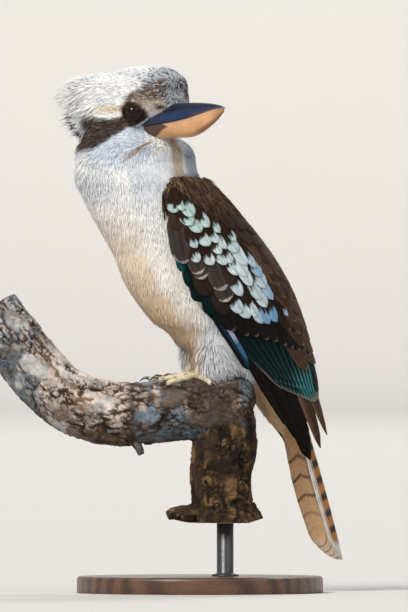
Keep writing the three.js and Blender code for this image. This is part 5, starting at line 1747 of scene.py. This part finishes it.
class KOOKABURRA_OT_perch(bpy.types.Operator):
    """Adds the length of branch with its stem, broken stub and twig"""

    bl_idname = "kookaburra.add_perch"
    bl_label = "Add branch"

    def execute(self, context):
        settings = context.scene.kookaburra_stand
        points, faces, tint = joined([self.limb(*limb, settings, seed) for seed, limb in enumerate(LIMBS)])
        points[:, 2] = np.maximum(points[:, 2], np.where(points[:, 0] > -60, STEM_FOOT, -1e3))
        cut = points[:, 2] < STEM_FOOT + 0.02
        tint = np.where(cut[:, None], SAWN, tint)
        add_piece("branch_bark", points, faces, self.bark(), tint, replaces=("perch",))
        return {"FINISHED"}

    def limb(self, rows, steps, sides, settings, seed):
        """A limb: circles carried along a smooth line through the rows, with lumps and bark relief."""
        table = np.array(rows, float)
        chord = np.append(0, np.cumsum(np.linalg.norm(np.diff(table[:, :3], axis=0), axis=1) ** 0.5))
        line = curve_through(np.column_stack([chord, table]))(np.linspace(0, chord[-1], steps))
        path, radius = line[:, :3], line[:, 3]
        angle = turns(sides)
        _, ray = rays_round(path, angle, np.array([0.0, 1.0, 0.0]))
        bare = path[:, None] + radius[:, None, None] * ray
        lump = 0.05 * (value_noise(bare, 26, 30 + seed) - 0.5) + 0.05 * (value_noise(bare, 13, 40 + seed) - 0.5)
        run = np.append(0, np.cumsum(np.linalg.norm(np.diff(path, axis=0), axis=1)))[:, None]
        radius = radius[:, None]
        relief, crack = bark_height(stacked(0.55 * run + 31 * seed, radius * np.cos(angle), radius * np.sin(angle)))
        r = radius * (1 + lump) + (relief - 0.7) * settings.bark_relief / MM * np.minimum(1, radius / 12)
        rings = path[:, None] + r[..., None] * ray
        points, faces = lofted(rings, path[0], path[-1])
        faces = facing_out(points, faces)
        relief, crack = relief.reshape(-1, 1), crack.reshape(-1, 1)
        tint = self.bark_tint(rings.reshape(-1, 3), ray.reshape(-1, 3)[:, 2:], relief, crack, settings, seed)
        return points, faces, np.concatenate([tint, [SAWN_RIM, SAWN_HEART]])

    def bark_tint(self, points, upward, relief, crack, settings, seed):
        """Pale plates on top, painted shade on the underside, brown hollows, dark cracks, lichen, a band partly of
        painted shadow; stem and stub are ochre and black.
        """
        pale, dark, warm, lichen = shades(settings, "bark_pale", "bark_dark", "bark_warm", "lichen")

        def noise(cell, seed, shift=0):
            return value_noise(points + shift, cell, seed)[:, None]

        big, small, speck = noise(17, 50), noise(5, 51), noise(1.3, 52)
        x, z = points[:, :1], points[:, 2:3]
        plate = smooth((relief - 0.25) / 0.4)
        # painted shade: the underside darker and browner than the top, by how far each point faces up
        top = smooth((upward + 0.45 + 0.9 * (big - 0.5)) / 0.6)
        rgb = mix(dark * 1.5, mix(warm * 0.9, pale * (0.65 + 0.6 * small), plate), 0.25 + 0.75 * top)
        rgb = mix(rgb, warm * 0.8, 0.55 * (1 - top) * smooth((small - 0.4) / 0.2))
        # darker band, knob and patches near the stem, with blue lichen; the band and its blue patch are partly painted
        # cast shadow
        knob = smooth((x + 56) / 8) * smooth((big + small - 0.62) / 0.25)
        rgb = mix(rgb, dark * (1.1 + 0.9 * small), 0.85 * knob)
        # darker patches on the part of the branch under the bird and towards the stem
        dark_by_stem = smooth((x + 14) / 12) * smooth((small + 0.35 * plate - 0.35) / 0.25)
        rgb = mix(rgb, dark * (0.9 + 1.3 * speck), 0.8 * dark_by_stem)
        grey = smooth((-x - 116 + 14 * big) / 14) * smooth((small - 0.25) / 0.3)
        rgb = mix(rgb, lichen * (0.30 + 0.8 * small), 0.6 * grey)
        # a dark band across the branch: partly darker bark, partly painted cast shadow
        band = window(x, -47, -26, 7) * smooth((big + 0.3 * small - 0.35) / 0.25)
        rgb = mix(rgb, dark * (0.9 + speck), 0.7 * band)
        # the band's blue patch: partly lichen, partly painted blue shadow
        patch = window(x, -46, -26, 6) * smooth((noise(7, 53) - 0.42) / 0.1) * plate
        spots = smooth((noise(12, 53, 40) - 0.64) / 0.08) * plate * 0.6
        rgb = mix(rgb, lichen * (0.7 + 0.6 * speck), np.maximum(patch * 0.75, spots))
        white = smooth((noise(8, 57, 9) - 0.60) / 0.06) * plate * smooth((-x - 60) / 30)
        rgb = mix(rgb, np.array((0.74, 0.72, 0.70)), 0.7 * white)
        if seed in (1, 2):
            ochre = mix(warm * 0.25, warm * 1.1, smooth((small - 0.35) / 0.3) * plate)
            rgb = mix(rgb, ochre, 0.92 * smooth((130 - z) / 14))
            rgb = mix(rgb, dark * 0.35, smooth((noise(9, 54) - 0.5) / 0.12) * 0.8)
        rgb = mix(rgb, dark * 0.3, 0.92 * crack)
        return rgb * (0.75 + 0.45 * speck)

    def bark(self):
        """Rough bark: the tint with fine flakes, and relief from fine cracks."""
        look = Finish("bark", Roughness=0.92, Specular_IOR_Level=0.2)
        fine = look.noise(700, 7, 0.7)
        fibre = look.noise(260, 5, 0.65, look.stretched(look.place, (0.35, 1, 1)))
        look.shaded(look.tint(), look.ramp(fibre, (0.3, 0.6), (0.65, 1.0)), look.ramp(fine, (0.3, 0.6), (0.7, 1.0)))
        look.bump(look.blend(0.5, fibre, fine), 0.9, 0.0012)
        return look.material


class KOOKABURRA_OT_stand(bpy.types.Operator):
    """Adds the turned round base and the rod that holds the branch"""

    bl_idname = "kookaburra.add_stand"
    bl_label = "Add display stand"

    def execute(self, context):
        settings = context.scene.kookaburra_stand
        radius, height = settings.base_radius / MM, settings.base_height / MM
        rod = settings.rod_radius / MM
        turn = np.radians(np.linspace(0, 90, 9))
        profile = [(radius - 1.2, 0), (radius - 0.4, 0.3), (radius, 1.0), (radius, height - 3.5)]
        profile += [(radius - 2.5 + 2.5 * np.cos(a), height - 2.5 + 2.5 * np.sin(a)) for a in turn]
        profile += [(radius - 9, height), (radius - 40, height), (1, height)]
        profile = [(1, 0), (radius - 10, 0), *profile]
        points, faces = lathe(profile, 160, (0, 0))
        add_piece("stand_base_wood", points, faces, self.wood(settings), replaces=("stand_base",))
        top = STEM_FOOT - 0.05
        collar = [(3.4, 0), (3.8, 0.4), (3.6, 1.2), (0.6, 1.8), (0, 2.4)]
        profile = [(0.5, height), *((rod + out, height + up) for out, up in collar)]
        profile += [(rod, top - 0.5), (rod - 0.3, top), (0.5, top)]
        points, faces = lathe(profile, 64, ROD_PLACE)
        add_piece("stand_rod_metal", points, faces, self.metal(settings), replaces=("stand_rod",))
        return {"FINISHED"}

    def wood(self, settings):
        """Dark stained wood: stretched rings and pores along one way, with a satin finish."""
        look = Finish("stand_wood", Roughness=0.38, Coat_Weight=0.25, Coat_Roughness=0.25)
        dark = tuple(settings.base_wood)
        light = tuple(min(1, 2.3 * c) for c in dark)
        along = look.stretched(look.place, (1.2, 14, 8))
        inputs = {"Vector": along, "Scale": 2.2, "Distortion": 5.0, "Detail": 3.0, "Detail Scale": 1.2}
        rings = look.add("ShaderNodeTexWave", inputs, bands_direction="Y")
        pores = look.noise(60, 5, 0.6, look.stretched(look.place, (1.0, 22, 22)))
        grain = look.ramp(rings.outputs["Fac"], (0.1, dark), (0.9, light))
        look.shaded(grain, look.ramp(pores, (0.35, 0.55), (0.6, 1.0)))
        look.set("Roughness", look.ramp(pores, (0.3, 0.5), (0.7, 0.32)))
        look.bump(pores, 0.15, 0.0003)
        return look.material

    def metal(self, settings):
        """Dark satin paint on metal, with the faintest orange peel."""
        look = Finish("stand_metal", Roughness=0.36, Metallic=0.55)
        low, high = (tuple(part * c for c in settings.rod_paint) for part in (0.8, 1.2))
        look.shaded(look.ramp(look.noise(300, 3), (0.3, low), (0.7, high)))
        look.set("Roughness", look.ramp(look.noise(500, 2), (0.3, 0.3), (0.7, 0.42)))
        look.bump(look.noise(1500, 2), 0.1, 0.0002)
        return look.material


# ---- stage


class KOOKABURRA_OT_stage(bpy.types.Operator):
    """Adds the pale floor and backdrop, the soft lights and the camera"""

    bl_idname = "kookaburra.add_stage"
    bl_label = "Add stage"

    def execute(self, context):
        settings = context.scene.kookaburra_stage
        self.floor(settings)
        self.light("key", (-0.8, -1.3, 1.15), 24, settings.key_strength, (1.0, 0.965, 0.91))
        self.light("fill", (1.0, -0.9, 0.45), 40, settings.fill_strength, (0.88, 0.94, 1.0))
        self.light("rim", (0.25, 1.0, 1.1), 20, settings.rim_strength, (1.0, 0.98, 0.95))
        world = bpy.data.worlds.new("studio")
        world.use_nodes = True
        background = world.node_tree.nodes["Background"]
        background.inputs["Color"].default_value = (0.93, 0.96, 1.0, 1)
        background.inputs["Strength"].default_value = settings.sky_strength
        context.scene.world = world
        context.scene.view_settings.view_transform = "Standard"
        self.camera(context, settings)
        return {"FINISHED"}

    def floor(self, settings):
        """A round floor that curves up into a wall: a flat run, a quarter circle and a rise, carried round a circle."""
        bend = np.radians(np.linspace(0, 90, 24))
        curve = [(24 + 5 * np.sin(a), 5 - 5 * np.cos(a)) for a in bend[1:]]
        profile = [(0.5, 0), (3, 0), (12, 0), (24, 0), *curve, (29, 12)]
        r, z = (np.array(profile)[:, c, None] for c in (0, 1))
        sides = 96
        turn = turns(sides)
        rings = stacked(r * np.cos(turn), r * np.sin(turn), z)
        points = np.concatenate([rings.reshape(-1, 3), np.zeros((1, 3))])
        middle = cap_faces(np.arange(sides), sides * len(profile), False)
        faces = [*grid_faces(len(profile), sides)[:, ::-1], *middle]
        look = Finish("pale_floor", Roughness=0.9, Specular_IOR_Level=0.1)
        pale = tuple(settings.floor)
        look.shaded(look.ramp(look.noise(0.8, 2), (0.3, tuple(0.985 * c for c in pale)), (0.7, pale)))
        mesh = bpy.data.meshes.new("floor")
        mesh.from_pydata(points.tolist(), [], [face.tolist() for face in faces])
        mesh.shade_smooth()
        mesh.materials.append(look.material)
        floor = bpy.data.objects.new("floor", mesh)
        bpy.context.scene.collection.objects.link(floor)

    def light(self, name, place, spread, strength, tone):
        """A soft light from a direction, spread over some degrees of the sky."""
        lamp = bpy.data.lights.new(name, "SUN")
        lamp.angle = np.radians(spread)
        lamp.energy = strength
        lamp.color = tone
        holder = bpy.data.objects.new(name, lamp)
        holder.location = place
        holder.rotation_euler = (-Vector(place)).to_track_quat("-Z", "Y").to_euler()
        bpy.context.scene.collection.objects.link(holder)

    def camera(self, context, settings):
        """A long lens level with the bird's middle, framing 291 by 437 mm in the photograph's proportions."""
        camera = bpy.data.cameras.new("camera")
        camera.sensor_fit = "VERTICAL"
        camera.sensor_height = 36
        distance = settings.camera_distance
        camera.lens = camera.sensor_height * distance / (PHOTO_SIZE[1] / PIXELS_PER_METRE)
        camera.clip_end = 120
        holder = bpy.data.objects.new("camera", camera)
        holder.location = (CAMERA_PLACE[0], -distance, CAMERA_PLACE[1])
        holder.rotation_euler = (np.pi / 2, 0, 0)
        context.scene.collection.objects.link(holder)
        context.scene.camera = holder


class KOOKABURRA_PT_panel(bpy.types.Panel):
    """Lists the pieces of the kookaburra in the sidebar"""

    bl_label = "Kookaburra"
    bl_idname = "KOOKABURRA_PT_panel"
    bl_space_type = "VIEW_3D"
    bl_region_type = "UI"
    bl_category = "Kookaburra"

    def draw(self, context):
        for operator in OPERATORS:
            self.layout.operator(operator.bl_idname)
        for group in SETTINGS:
            box = self.layout.box()
            values = getattr(context.scene, group)
            for key in SETTINGS[group].__annotations__:
                box.prop(values, key)


OPERATORS = (
    KOOKABURRA_OT_stage,
    KOOKABURRA_OT_skin,
    KOOKABURRA_OT_coat,
    KOOKABURRA_OT_wings,
    KOOKABURRA_OT_tail,
    KOOKABURRA_OT_bill,
    KOOKABURRA_OT_eyes,
    KOOKABURRA_OT_feet,
    KOOKABURRA_OT_perch,
    KOOKABURRA_OT_stand,
)
SETTINGS = {
    "kookaburra_plumage": PlumageSettings,
    "kookaburra_horn": HornSettings,
    "kookaburra_stand": StandSettings,
    "kookaburra_stage": StageSettings,
}


def register():
    """Registers the settings, operators and panel."""
    for item in (*SETTINGS.values(), *OPERATORS, KOOKABURRA_PT_panel):
        bpy.utils.register_class(item)
    for name, group in SETTINGS.items():
        setattr(bpy.types.Scene, name, PointerProperty(type=group))


def unregister():
    """Takes them away again."""
    for name in SETTINGS:
        delattr(bpy.types.Scene, name)
    for item in reversed((*SETTINGS.values(), *OPERATORS, KOOKABURRA_PT_panel)):
        bpy.utils.unregister_class(item)


def main():
    """Builds the stage and every piece."""
    register()
    for operator in OPERATORS:
        category, action = operator.bl_idname.split(".")
        getattr(getattr(bpy.ops, category), action)()


if __name__ == "__main__":
    main()
